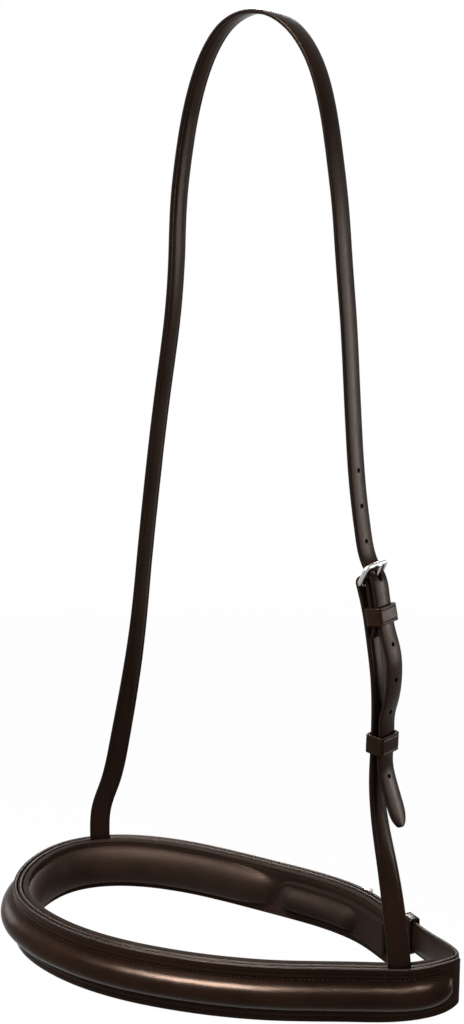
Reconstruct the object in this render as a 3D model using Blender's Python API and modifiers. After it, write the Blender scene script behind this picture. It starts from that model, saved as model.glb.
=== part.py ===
"""A padded, raised noseband with its headstrap and buckles, at real size in metres.

The nose lies along -Y, the cheek with the buckle is at +X and +Z is up. The origin is under the
crown of the headstrap, where it rests on the horse's poll.
"""

import math

import bmesh
import bpy
import numpy as np
from mathutils import Matrix, Vector

# Fits between pieces
SEAM_GAP = 0.0003           # between leathers that are sewn together
SLIP_GAP = 0.0003           # between a piece and what it turns or slides on
PAD_GAP = 0.0004            # between a filling and the leather over it

# Ring of the noseband in plan: outer face of its flat edges, from the right tip round the rear
RING_PLAN = [
    (0.1432, 0.0212), (0.0962, 0.0427), (0.0441, 0.0578), (-0.0274, 0.0488),
    (-0.1024, 0.0259), (-0.1355, 0.0003), (-0.1456, -0.0188), (-0.1445, -0.0540),
    (-0.1175, -0.0922), (-0.0667, -0.1059), (0.0084, -0.0886), (0.0641, -0.0564),
    (0.1044, -0.0230),
]
RING_BOTTOM = -0.5620       # lower edge of the ring, below the poll

# Places round the ring, as distances from the right tip past the rear
BAND_END = 0.0690           # rear end of the padded band
CHIN_BAR = 0.1245           # heel bar of the chin buckle
PAD_DOME_START = 0.1025     # near end of the chin pad's swell
PAD_END = 0.1675            # far end of the chin pad
LINING_DOME_START = 0.1705  # where the lining begins to swell
FAR_CHEEK = 0.3010          # middle of the far headstrap end
NEAR_CHEEK_TO_TIP = 0.040   # from the middle of the near headstrap end to the tip

# Layers of the band
BAND_HEIGHT = 0.034         # at the rear and the far cheek
NOSE_HEIGHT = 0.0353        # over the nose
NEAR_CHEEK_HEIGHT = 0.0345
COVER_THICKNESS = 0.0022
BAND_THICKNESS = 0.0036
LINING_THICKNESS = 0.0032
COVER_DOME_WIDTH = 0.0134   # inside the raised cover
COVER_DOME_RISE = 0.0084
LINING_DOME_WIDTH = 0.0205  # inside the padded lining
LINING_DOME_RISE = 0.0082
DOME_FADE = 0.022           # length over which a swell dies away
LEAST_FILLING = 0.0016      # lowest swell that holds a filling
COVER_SETBACK = 0.003       # from the cover's end to the tip
LINING_PAST_CHEEK = 0.022   # lining beyond the middle of the near headstrap end
RAISE_PAST_CHEEK = 0.031    # and the raise of the cover beyond it

# Chin pad on the inside of the rear band
PAD_WIDTH = 0.0225
PAD_MIDDLE = 0.017          # above the ring's lower edge
PAD_BACK_THICKNESS = 0.0014
PAD_COVER_THICKNESS = 0.0016
PAD_DOME_WIDTH = 0.0128
PAD_DOME_RISE = 0.0066
PAD_DOME_SHARE = 0.66       # widest swell on the pad's rounded end, as a share of its width
PAD_SETBACK = 0.003         # from the band's end to the pad's flat end

# Chin billet, the narrow end of the band strap
BILLET_WIDTH = 0.020
TIP_WIDTH = 0.0235          # width of the band strap where it turns back
BILLET_RISE_AT_TIP = 0.0275  # middle of the billet above the ring's lower edge
BILLET_RISE_AT_LOOP = 0.0218
BILLET_RISE_AT_BUCKLE = 0.0145
BILLET_TURNS = 0.004        # past the tip, where the billet starts to move outward
CORNER_LENGTH = 0.060       # length over which the band's lower edge rounds up
BILLET_END = 0.2105
BILLET_POINT = 0.016        # length of the rounded point
BILLET_HOLE = 0.0035
BILLET_HOLE_PITCH = 0.020
BILLET_HOLES = (-1, 1, 2, 3)  # steps from the hole in use to the others

# Headstrap and cheek strap
STRAP_WIDTH = 0.0132
STRAP_THICKNESS = 0.0033
STRAP_POINT = 0.012
STRAP_HOLE = 0.0028
STRAP_HOLE_PITCH = 0.020
STRAP_HOLES_ABOVE = 3
STRAP_HOLES_BELOW = 6
POCKET_DEPTH = 0.022        # how far a strap end goes down between the layers
CROWN_FLAT = 0.006          # half length of the flat rest under the crown
NEAR_TWIST = (0.037, 0.132)    # heights above the ring between which the near strap turns
FAR_TWIST = (0.062, 0.232)
RUNNER_STANDOFF = 0.0054    # headstrap's tail above the cheek strap, middle to middle
TAIL_DISTANCE = 0.1440      # tail's end, down the cheek strap from the heel bar

# Keepers
KEEPER_WALL = 0.0016
KEEPER_CORNER = 0.0016
FIXED_KEEPER_LENGTH = 0.010
RUNNER_LENGTH = 0.0110
END_LOOP_LENGTH = 0.009
END_LOOP_WALL = 0.0016
END_LOOP_PLAY = 0.0004
KEEPER_LANDING = 0.001      # straight stretch of leather beyond each end of a keeper
KEEPER_EASE = 0.0004        # room that lets a strap bend on either side of a fixed keeper

# Cheek buckle: a frame on its heel bar, and a tongue on the same bar
CHEEK_FRAME = {
    "bar": 0.0014,          # radius of the frame's wire
    "tongue": 0.0011,       # radius of the tongue's wire
    "tilt": 44,             # degrees between the frame and the leather that holds it
    "crossing": 64,         # degrees between the frame and the strap that passes through it
    "corner": 0.0022,
}
CHIN_FRAME = {
    "bar": 0.0015,
    "tongue": 0.0011,
    "tilt": 22,
    "crossing": 40,
    "corner": 0.0024,
}
BUCKLE_PLAY = 0.0006        # between a strap's edge and the side bar of a frame
TONGUE_OVERHANG = 0.0022    # tongue beyond the middle of the outer bar
TONGUE_EYE_TURN = 262       # degrees of the heel bar that the tongue's eye goes round
SLOT_EXTRA = 0.0006         # slot wider than the tongue on each side
TONGUE_SWING = 16           # degrees that a tongue hole leaves for the frame and tongue
WRAP_SLACK = 0.0002         # further room of a strap where it bends round a bar

# Chape of the chin buckle
CHAPE_THICKNESS = 0.0024
CHAPE_LENGTH = 0.044        # sewn leaf, from the heel bar
CHAPE_TURN = 0.030          # turned leaf, from the heel bar
CHIN_KEEPER_AT = 0.016      # middle of the chin's first keeper, from the heel bar
TAIL_KEEPER_AT = 0.058      # middle of the chin's second keeper

# Cheek strap from the buckle down to the near cheek, and where its fittings sit along it
CHEEK_TURN = 0.031          # turned leaf, from the heel bar
CHEEK_KEEPER_AT = 0.0185
CHEEK_RUNNER_AT = 0.0925

# Fineness of the curved shapes
SPLINE_SAMPLES = 60
BAND_STEP = 0.0100          # spacing of sections round the ring
TIP_STRETCH = 0.024         # stretch on each side of the tip with closer sections
STRAP_STEP = 0.0175         # spacing of sections on a nearly straight strap
BEND_STEP = 0.0043          # spacing of sections where a strap bends at its buckle
DOME_STEPS = 6
FOLD_STEPS = 8
CROWN_BEND = 0.060          # length of strap on each side of the crown that bends
BUCKLE_BEND = 0.030         # and on each side of the cheek buckle's heel bar


class Route:
    """A smooth line through chosen points, read by the distance along it."""

    def __init__(self, points, closed=False):
        knots = np.array(points, dtype=float)
        if closed:
            knots = np.vstack([knots, knots[:1]])
        gaps = np.linalg.norm(np.diff(knots, axis=0), axis=1)
        bends = self._bends(knots, gaps, closed)
        pieces = []
        part = np.linspace(0.0, 1.0, SPLINE_SAMPLES, endpoint=False)[:, None]
        for i, gap in enumerate(gaps):
            straight = knots[i] * (1 - part) + knots[i + 1] * part
            curl = (2 - part) * bends[i] + (1 + part) * bends[i + 1]
            pieces.append(straight - gap * gap * part * (1 - part) / 6 * curl)
        self.line = np.vstack(pieces + [knots[-1:]])
        steps = np.linalg.norm(np.diff(self.line, axis=0), axis=1)
        self.distance = np.concatenate([[0.0], np.cumsum(steps)])
        self.length = self.distance[-1]
        self.closed = closed

    @staticmethod
    def _bends(knots, gaps, closed):
        """Second derivatives of the cubic spline at its knots."""
        count = len(knots) - 1 if closed else len(knots)
        matrix = np.eye(count)
        right = np.zeros((count, knots.shape[1]))
        for i in range(count):
            if not closed and i in (0, count - 1):
                continue
            before = gaps[i - 1]
            after = gaps[i]
            ahead = knots[i + 1] - knots[i]
            behind = knots[i] - (knots[i - 1] if i > 0 else knots[-2])
            matrix[i] = 0.0
            matrix[i, i] = 2 * (before + after)
            matrix[i, (i - 1) % count] += before
            matrix[i, (i + 1) % count] += after
            right[i] = 6 * (ahead / after - behind / before)
        bends = np.linalg.solve(matrix, right)
        return np.vstack([bends, bends[:1]]) if closed else bends

    def point(self, distance):
        if self.closed:
            distance = distance % self.length
        return Vector([np.interp(distance, self.distance, axis) for axis in self.line.T])

    def tangent(self, distance):
        reach = 0.0005
        if self.closed:
            low, high = distance - reach, distance + reach
        else:
            low, high = max(distance - reach, 0.0), min(distance + reach, self.length)
        return (self.point(high) - self.point(low)).normalized()

    def nearest(self, target):
        """Distance along the line of its point nearest to a place."""
        return self.distance[np.linalg.norm(self.line - np.array(target), axis=1).argmin()]


def eased(table, place):
    """Read rows of (place, value) with a smooth step between rows."""
    if place <= table[0][0]:
        return table[0][1]
    for (start, low), (end, high) in zip(table, table[1:]):
        if place <= end:
            part = (place - start) / (end - start)
            return low + (high - low) * part * part * (3 - 2 * part)
    return table[-1][1]


def spread(start, end, step):
    """Even places from start to end, no further apart than step."""
    count = max(1, math.ceil(abs(end - start) / step - 1e-6))
    return [start + (end - start) * i / count for i in range(count + 1)]


def gather(*lists):
    """Join lists of places that meet end to end."""
    places = []
    for places_here in lists:
        for place in places_here:
            if not places or abs(place - places[-1]) > 1e-6:
                places.append(place)
    return places


def point_places(end, reach, count=5):
    """Places along a rounded point, closer together towards its end."""
    last = math.radians(80)
    return [end - reach + reach * math.sin(last * i / count) for i in range(count + 1)]


def point_share(place, end, reach):
    """Share of the full width that a rounded point has at a place."""
    past = (place - (end - reach)) / reach
    return math.sqrt(max(0.0, 1 - past * past)) if past > 0 else 1.0


# The ring and its layers, outward distances from the ring's outer face
RING = Route(RING_PLAN, closed=True)
TIP = RING.length
NEAR_CHEEK = TIP - NEAR_CHEEK_TO_TIP
NOSE = (FAR_CHEEK + NEAR_CHEEK) / 2
COVER_INNER = -COVER_THICKNESS
BAND_MIDDLE = COVER_INNER - SEAM_GAP - BAND_THICKNESS / 2
LINING_OUTER = BAND_MIDDLE - BAND_THICKNESS / 2 - SEAM_GAP
LINING_INNER = LINING_OUTER - LINING_THICKNESS
PAD_BACK = LINING_INNER - SEAM_GAP - PAD_BACK_THICKNESS / 2
PAD_COVER_OUTER = PAD_BACK - PAD_BACK_THICKNESS / 2 - SEAM_GAP
COVER_END = TIP - COVER_SETBACK
RAISE_END = NEAR_CHEEK + RAISE_PAST_CHEEK


def ring_axes(place):
    """Forward and outward directions of the ring at a place."""
    forward = RING.tangent(place)
    return Vector((forward.x, forward.y, 0)), Vector((forward.y, -forward.x, 0))


def ring_place(place, outward, rise):
    """A point near the ring: outward of its outer face and above its lower edge."""
    x, y = RING.point(place)
    _, out = ring_axes(place)
    return Vector((x, y, RING_BOTTOM + rise)) + out * outward


def band_top(place):
    """Upper edge of the band, with the band a little higher over the nose."""
    rows = [(FAR_CHEEK, BAND_HEIGHT), (NOSE, NOSE_HEIGHT), (NEAR_CHEEK, NEAR_CHEEK_HEIGHT)]
    rows.append((TIP, BILLET_RISE_AT_TIP + TIP_WIDTH / 2))
    return eased(rows, place)


def band_low(place):
    """Lower edge of the band, which rounds up towards the tip."""
    rise = BILLET_RISE_AT_TIP - TIP_WIDTH / 2
    return rise * (1 - point_share(place, TIP, CORNER_LENGTH))


# Blender objects

def new_material(name, colour, roughness, metallic=0.0):
    material = bpy.data.materials.new(name)
    material.use_nodes = True
    shader = material.node_tree.nodes["Principled BSDF"]
    shader.inputs["Base Color"].default_value = (*colour, 1)
    shader.inputs["Roughness"].default_value = roughness
    shader.inputs["Metallic"].default_value = metallic
    material.diffuse_color = (*colour, 1)
    return material


def add_object(name, data, material, collection):
    obj = bpy.data.objects.new(name, data)
    collection.objects.link(obj)
    if material:
        data.materials.append(material)
    return obj


def mesh_from(name, points, faces):
    mesh = bpy.data.meshes.new(name)
    mesh.from_pydata(points, [], faces)
    mesh.update()
    return mesh


def shade_round(mesh, angle=35):
    mesh.shade_smooth()
    mesh.set_sharp_from_angle(angle=math.radians(angle))


def sheet(name, rows, thickness, side, material, collection, edge=0.0005):
    """A leather from rows of points across it, thickened to one side or both (side 0)."""
    across = len(rows[0])
    faces = []
    for i in range(len(rows) - 1):
        for j in range(across - 1):
            low = i * across + j
            faces.append((low, low + across, low + across + 1, low + 1))
    mesh = mesh_from(name, [point for row in rows for point in row], faces)
    shade_round(mesh)
    obj = add_object(name, mesh, material, collection)
    wall = obj.modifiers.new("Thickness", "SOLIDIFY")
    wall.thickness = thickness
    wall.offset = side
    wall.use_even_offset = True
    rounding = obj.modifiers.new("Edges", "BEVEL")
    rounding.width = edge
    rounding.segments = 1
    rounding.limit_method = "ANGLE"
    rounding.angle_limit = math.radians(80)
    return obj


def ribbon(name, stations, thickness, material, collection):
    """A strap from stations of (middle, direction across, width)."""
    rows = [
        [middle - across * width / 2, middle + across * width / 2]
        for middle, across, width in stations
    ]
    return sheet(name, rows, thickness, 0, material, collection)


def loft(name, sections, material, collection):
    """A closed filling through sections with the same number of points."""
    count = len(sections[0])
    faces = []
    for i in range(len(sections) - 1):
        for j in range(count):
            low = i * count + j
            side = i * count + (j + 1) % count
            faces.append((low, low + count, side + count, side))
    faces.append(tuple(range(count)))
    last = (len(sections) - 1) * count
    faces.append(tuple(reversed(range(last, last + count))))
    mesh = mesh_from(name, [point for section in sections for point in section], faces)
    work = bmesh.new()
    work.from_mesh(mesh)
    bmesh.ops.recalc_face_normals(work, faces=work.faces)
    work.to_mesh(mesh)
    work.free()
    shade_round(mesh, 50)
    return add_object(name, mesh, material, collection)


def dome_section(width, rise):
    """Half-round section: pairs of (across, out) from edge to edge."""
    angles = [math.pi * i / DOME_STEPS for i in range(DOME_STEPS + 1)]
    return [(-math.cos(angle) * width / 2, math.sin(angle) * rise) for angle in angles]


def domed_sheet(name, places, edges, dome, base, thickness, side, material, collection):
    """A leather round the ring that swells over a filling.

    edges(place) gives its lower and upper edge, and dome(place) the swell's middle, width
    and rise. The sheet starts at base and swells and thickens outward (side 1) or inward.
    """
    rows = []
    for place in places:
        low, top = edges(place)
        middle, width, rise = dome(place)
        row = [ring_place(place, base, low)]
        for across, out in dome_section(width, rise):
            row.append(ring_place(place, base + side * out, middle + across))
        row.append(ring_place(place, base, top))
        rows.append(row)
    return sheet(name, rows, thickness, side, material, collection)


def domed_filling(name, places, dome, base, side, material, collection):
    """The filling under a domed sheet, clear of it all round."""
    sections = []
    for place in places:
        middle, width, rise = dome(place)
        section = dome_section(width - 2.5 * PAD_GAP, rise - PAD_GAP)
        sections.append(
            [ring_place(place, base + side * out, middle + across) for across, out in section]
        )
    return loft(name, sections, material, collection)


def wire(name, points, radius, cyclic, resolution, material, collection):
    """A round wire through points, with closed ends."""
    curve = bpy.data.curves.new(name, "CURVE")
    curve.dimensions = "3D"
    curve.bevel_depth = radius
    curve.bevel_resolution = resolution
    curve.use_fill_caps = not cyclic
    line = curve.splines.new("POLY")
    line.points.add(len(points) - 1)
    for target, point in zip(line.points, points):
        target.co = (*point, 1)
    line.use_cyclic_u = cyclic
    line.use_smooth = True
    return add_object(name, curve, material, collection)


def rounded_outline(width, height, corner, steps=3):
    """Corner-rounded rectangle about the origin, as (x, y) pairs."""
    points = []
    for quarter, (sx, sy) in enumerate(((1, 1), (-1, 1), (-1, -1), (1, -1))):
        for i in range(steps + 1):
            angle = math.pi / 2 * (quarter + i / steps)
            points.append((
                sx * (width / 2 - corner) + corner * math.cos(angle),
                sy * (height / 2 - corner) + corner * math.sin(angle),
            ))
    return points


def keeper(name, inside_width, inside_height, wall, length, place, material, collection):
    """A leather loop, extruded along local Z, whose inside fits what passes through it."""
    curve = bpy.data.curves.new(name, "CURVE")
    curve.dimensions = "2D"
    curve.fill_mode = "BOTH"
    curve.extrude = length / 2
    outlines = (
        rounded_outline(inside_width + 2 * wall, inside_height + 2 * wall, KEEPER_CORNER),
        rounded_outline(inside_width, inside_height, KEEPER_CORNER / 3),
    )
    for outline in outlines:
        line = curve.splines.new("POLY")
        line.points.add(len(outline) - 1)
        for target, (x, y) in zip(line.points, outline):
            target.co = (x, y, 0, 1)
        line.use_cyclic_u = True
    obj = add_object(name, curve, material, collection)
    obj.matrix_world = place
    return obj


def axes_matrix(origin, x_axis, y_axis, z_axis):
    """Placing matrix from an origin and three square directions."""
    rotation = Matrix((x_axis, y_axis, z_axis)).transposed()
    return Matrix.Translation(origin) @ rotation.to_4x4()


def cutter_object(name, collection):
    """An empty mesh that gathers cutting shapes, hidden from the finished part."""
    obj = add_object(name, bpy.data.meshes.new(name), None, collection)
    obj.hide_render = True
    obj.display_type = "WIRE"
    return obj


def add_to_cutter(cutter, make):
    """Add one shape to a cutter; make(work) builds it in an open bmesh."""
    work = bmesh.new()
    work.from_mesh(cutter.data)
    make(work)
    work.to_mesh(cutter.data)
    work.free()


def punch_round(cutter, place, radius, depth, sides=12):
    """A round punch through a strap, along the place's local Z."""
    add_to_cutter(cutter, lambda work: bmesh.ops.create_cone(
        work, cap_ends=True, segments=sides, radius1=radius, radius2=radius,
        depth=depth, matrix=place,
    ))


def punch_box(cutter, place, size):
    """A straight-sided punch, size along the place's local X, Y and Z."""
    scale = Matrix.Diagonal((*size, 1))
    add_to_cutter(cutter, lambda work: bmesh.ops.create_cube(work, matrix=place @ scale))


def punch_oblong(cutter, place, length, width, depth, steps=5):
    """A punch with round ends, its length along the place's local Y."""
    outline = []
    for end in (1, -1):
        for i in range(steps + 1):
            angle = math.pi * i / steps + (0 if end > 0 else math.pi)
            outline.append((
                width / 2 * math.cos(angle),
                end * (length - width) / 2 + width / 2 * math.sin(angle),
            ))

    def make(work):
        rings = []
        for z in (-depth / 2, depth / 2):
            rings.append([work.verts.new(place @ Vector((x, y, z))) for x, y in outline])
        floor = work.faces.new(rings[0])
        walls = [floor, work.faces.new(rings[1])]
        for i in range(len(outline)):
            j = (i + 1) % len(outline)
            walls.append(work.faces.new((rings[0][i], rings[0][j], rings[1][j], rings[1][i])))
        bmesh.ops.recalc_face_normals(work, faces=walls)

    add_to_cutter(cutter, make)


def cut(obj, cutter):
    boolean = obj.modifiers.new("Cut " + cutter.name, "BOOLEAN")
    boolean.operation = "DIFFERENCE"
    boolean.object = cutter


# Buckles, in their own axes: X across the strap, Y along it towards the outer bar, Z outward

def tongue_radius(buckle):
    """Radius of the tongue's eye, to the middle of its wire."""
    return buckle["bar"] + SLIP_GAP + buckle["tongue"]


def tongue_line(buckle):
    """Middle line of the tongue's shaft: where it leaves its eye, and its tip."""
    rest = Vector((0, buckle["reach"], buckle["rise"]))
    seat = buckle["bar"] + SLIP_GAP + buckle["tongue"]
    eye = tongue_radius(buckle)
    tilt = math.atan2(rest.z, rest.y)
    lean = tilt + math.asin((seat - eye) / rest.length)
    out = Vector((0, -math.sin(lean), math.cos(lean)))
    along = Vector((0, math.cos(lean), math.sin(lean)))
    start = out * eye
    tip = start + along * (rest.dot(along) + TONGUE_OVERHANG)
    return start, tip


def make_buckle(prefix, buckle, place, material, collection):
    """The frame and the tongue of one buckle, both turning on the heel bar."""
    span = math.hypot(buckle["reach"], buckle["rise"])
    outline = rounded_outline(
        buckle["inside"] + 2 * buckle["bar"], span, buckle["corner"], steps=4
    )
    tilt = Matrix.Rotation(math.atan2(buckle["rise"], buckle["reach"]), 4, "X")
    points = [tilt @ Vector((x, y + span / 2, 0)) for x, y in outline]
    frame = wire(prefix + "_frame", points, buckle["bar"], True, 3, material, collection)
    frame.matrix_world = place

    start, tip = tongue_line(buckle)
    eye = tongue_radius(buckle)
    leave = math.atan2(start.z, start.y)
    sweep = math.radians(TONGUE_EYE_TURN)
    points = []
    for share in spread(1, 0, 1 / 12):
        angle = leave + sweep * share
        points.append(Vector((0, math.cos(angle) * eye, math.sin(angle) * eye)))
    points += [start.lerp(tip, 0.5), tip]
    tongue = wire(prefix + "_tongue", points, buckle["tongue"], False, 2, material, collection)
    tongue.matrix_world = place
    return frame, tongue


def tongue_crossing(route, buckle, place):
    """Where a strap's route meets the tongue's shaft, and the angle between them."""
    start, tip = tongue_line(buckle)
    steps = [start.lerp(tip, i / 40) for i in range(41)]
    distances = [route.nearest(place @ step) for step in steps]
    gaps = [(route.point(d) - place @ step).length for d, step in zip(distances, steps)]
    at = distances[gaps.index(min(gaps))]
    shaft = (place.to_3x3() @ (tip - start)).normalized()
    cosine = abs(route.tangent(at).dot(shaft))
    return at, math.acos(min(1.0, cosine))


def leaf_turn(buckle, leaf):
    """Radius of a leather's middle where it folds round the heel bar."""
    return buckle["bar"] + SLIP_GAP + leaf / 2


def wrap_radius(buckle, leaf, strap):
    """Distance from the heel bar to the middle of a strap that lies over the folded leather."""
    return leaf_turn(buckle, leaf) + leaf / 2 + SEAM_GAP + strap / 2 + WRAP_SLACK


def under_radius(buckle, strap):
    """Distance from the outer bar to the middle of a strap that passes under it."""
    return buckle["bar"] + SLIP_GAP + strap / 2 + WRAP_SLACK


def sized_buckle(frame, leaf, strap, strap_width):
    """A buckle whose frame is wide and long enough for the strap that passes through it."""
    room = wrap_radius(frame, leaf, strap) + under_radius(frame, strap)
    span = room / math.sin(math.radians(frame["crossing"]))
    tilt = math.radians(frame["tilt"])
    return dict(
        frame, reach=span * math.cos(tilt), rise=span * math.sin(tilt),
        inside=strap_width + 2 * BUCKLE_PLAY,
    )


def strap_between(buckle, leaf, strap):
    """Where a strap's straight stretch leaves the outer bar and meets the folded leather."""
    slope = math.radians(buckle["tilt"] - buckle["crossing"])
    out = Vector((0, -math.sin(slope), math.cos(slope)))
    outer_bar = Vector((0, buckle["reach"], buckle["rise"]))
    return outer_bar - out * under_radius(buckle, strap), out * wrap_radius(buckle, leaf, strap)


def tongue_slot(cutter, buckle, leaf, place):
    """Cut the slot for the tongue's eye through the leather folded round the heel bar."""
    eye = tongue_radius(buckle) + buckle["tongue"] + SLIP_GAP
    fold = leaf_turn(buckle, leaf) + leaf
    middle = Matrix.Translation((0, (fold - eye) / 2, 0))
    width = 2 * (buckle["tongue"] + SLOT_EXTRA)
    punch_box(cutter, place @ middle, (width, fold + eye, 2 * fold))


def tongue_hole(route, buckle, place, thickness):
    """The crossing, and the middle and length of the hole that lets the tongue swing there."""
    lifted = place @ Matrix.Rotation(math.radians(TONGUE_SWING), 4, "X")
    rest, rest_angle = tongue_crossing(route, buckle, place)
    swung, swung_angle = tongue_crossing(route, buckle, lifted)
    angle = (rest_angle + swung_angle) / 2
    through = thickness / math.tan(angle)
    wide = 2 * (buckle["tongue"] + SLIP_GAP) / math.sin(angle)
    return rest, (rest + swung) / 2, through + wide + abs(swung - rest)


def strap_axes(route, distance, across):
    """Square axes on a strap: across it, along it and out of its outer face."""
    along = route.tangent(distance)
    across = (across - along * across.dot(along)).normalized()
    return across, along, across.cross(along).normalized()


# Clean scene and collections
for old in list(bpy.data.objects):
    bpy.data.objects.remove(old, do_unlink=True)

parts = bpy.data.collections.new("Noseband")
cutters = bpy.data.collections.new("Noseband cutters")
for made in (parts, cutters):
    bpy.context.scene.collection.children.link(made)

LEATHER = new_material("Havana leather", (0.045, 0.022, 0.014), 0.38)
LINING_LEATHER = new_material("Lining leather", (0.052, 0.027, 0.018), 0.5)
STEEL = new_material("Stainless steel", (0.72, 0.72, 0.70), 0.22, 1.0)
FELT = new_material("Raise filler", (0.30, 0.24, 0.18), 0.9)
FOAM = new_material("Pad foam", (0.60, 0.56, 0.48), 0.95)


# Padded band: cover, filler, band strap, foam and lining

def cover_edges(place):
    return band_low(place), band_top(place)


def cover_dome(place):
    low, top = cover_edges(place)
    rows = [
        (FAR_CHEEK - DOME_FADE / 2, 0), (FAR_CHEEK + DOME_FADE / 2, 1),
        (RAISE_END - 0.75 * DOME_FADE, 1), (RAISE_END, 0),
    ]
    return (low + top) / 2, COVER_DOME_WIDTH, COVER_DOME_RISE * eased(rows, place)


def lining_edges(place):
    return band_low(place), band_top(place)


def lining_dome(place):
    rows = [
        (LINING_DOME_START, 0), (LINING_DOME_START + DOME_FADE, 1),
        (NEAR_CHEEK - DOME_FADE, 1), (NEAR_CHEEK, 0),
    ]
    return band_top(place) / 2, LINING_DOME_WIDTH, LINING_DOME_RISE * eased(rows, place)


cover_places = gather(
    spread(BAND_END, FAR_CHEEK - DOME_FADE / 2, BAND_STEP),
    spread(FAR_CHEEK - DOME_FADE / 2, FAR_CHEEK + DOME_FADE / 2, DOME_FADE / 4),
    spread(FAR_CHEEK + DOME_FADE / 2, TIP - TIP_STRETCH, BAND_STEP),
    spread(TIP - TIP_STRETCH, COVER_END, BAND_STEP / 4),
)
domed_sheet(
    "outer_cover", cover_places, cover_edges, cover_dome, COVER_INNER,
    COVER_THICKNESS, 1, LEATHER, parts,
)

lining_end = NEAR_CHEEK + LINING_PAST_CHEEK
lining_places = gather(
    spread(BAND_END, LINING_DOME_START, BAND_STEP),
    spread(LINING_DOME_START, LINING_DOME_START + DOME_FADE, DOME_FADE / 4),
    spread(LINING_DOME_START + DOME_FADE, NEAR_CHEEK - DOME_FADE, BAND_STEP),
    spread(NEAR_CHEEK - DOME_FADE, NEAR_CHEEK, DOME_FADE / 4),
    spread(NEAR_CHEEK, lining_end, BAND_STEP),
)
domed_sheet(
    "padded_lining", lining_places, lining_edges, lining_dome, LINING_OUTER,
    LINING_THICKNESS, -1, LINING_LEATHER, parts,
)


def filled(places, dome):
    """The places where a swell is high enough to hold its filling."""
    return [place for place in places if dome(place)[2] > LEAST_FILLING]


domed_filling(
    "raise_filler", filled(cover_places, cover_dome), cover_dome, COVER_INNER, 1, FELT, parts
)
domed_filling(
    "padding_foam", filled(lining_places, lining_dome), lining_dome, LINING_OUTER, -1, FOAM, parts
)


# Chin pad on the inside of the rear band

pad_start = BAND_END + PAD_SETBACK


def pad_edges(place):
    half = PAD_WIDTH / 2 * point_share(place, PAD_END, PAD_WIDTH / 2)
    return PAD_MIDDLE - half, PAD_MIDDLE + half


def pad_dome(place):
    rows = [
        (PAD_DOME_START, 0), (PAD_DOME_START + DOME_FADE / 2, 1),
        (PAD_END - PAD_WIDTH / 2, 1), (PAD_END - PAD_WIDTH / 8, 0),
    ]
    low, top = pad_edges(place)
    width = min(PAD_DOME_WIDTH, (top - low) * PAD_DOME_SHARE)
    return PAD_MIDDLE, width, PAD_DOME_RISE * eased(rows, place)


pad_places = gather(
    spread(pad_start, PAD_DOME_START, BAND_STEP),
    spread(PAD_DOME_START, PAD_DOME_START + DOME_FADE / 2, DOME_FADE / 6),
    spread(PAD_DOME_START + DOME_FADE / 2, PAD_END - PAD_WIDTH / 2, BAND_STEP),
    point_places(PAD_END, PAD_WIDTH / 2),
)
sheet(
    "chin_pad_back",
    [[ring_place(place, PAD_BACK, edge) for edge in pad_edges(place)] for place in pad_places],
    PAD_BACK_THICKNESS, 0, LEATHER, parts, edge=0.0003,
)
domed_sheet(
    "chin_pad_cover", pad_places, pad_edges, pad_dome, PAD_COVER_OUTER,
    PAD_COVER_THICKNESS, -1, LINING_LEATHER, parts,
)
domed_filling(
    "chin_pad_foam", filled(pad_places, pad_dome), pad_dome, PAD_COVER_OUTER, -1, FOAM, parts
)


# Chin buckle: its place on the band, and the billet's way through it

CHIN_BUCKLE = sized_buckle(CHIN_FRAME, CHAPE_THICKNESS, BAND_THICKNESS, BILLET_WIDTH)
CHIN_LEAF = SEAM_GAP + CHAPE_THICKNESS / 2
CHIN_BAR_OUT = CHIN_LEAF + leaf_turn(CHIN_BUCKLE, CHAPE_THICKNESS)
CHIN_OVER_BAR = CHIN_BAR_OUT + wrap_radius(CHIN_BUCKLE, CHAPE_THICKNESS, BAND_THICKNESS)
chin_leaves, chin_lands = strap_between(CHIN_BUCKLE, CHAPE_THICKNESS, BAND_THICKNESS)
KEEPER_SPACE = KEEPER_WALL + 2 * SLIP_GAP
CHIN_TURNED_LEAF = CHIN_LEAF + CHAPE_THICKNESS + KEEPER_SPACE
CHIN_AT_KEEPER = CHIN_TURNED_LEAF + CHAPE_THICKNESS / 2 + SLIP_GAP + BAND_THICKNESS / 2
TAIL_KEEPER_INNER = SEAM_GAP + KEEPER_WALL + SLIP_GAP
CHIN_AT_TAIL = TAIL_KEEPER_INNER + BAND_THICKNESS / 2
BILLET_ON_BAND = SEAM_GAP + BAND_THICKNESS / 2 + WRAP_SLACK

forward, out = ring_axes(CHIN_BAR)
CHIN_PLACE = axes_matrix(
    ring_place(CHIN_BAR, CHIN_BAR_OUT, BILLET_RISE_AT_BUCKLE),
    Vector((0, 0, 1)), -forward, out,
)


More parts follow.
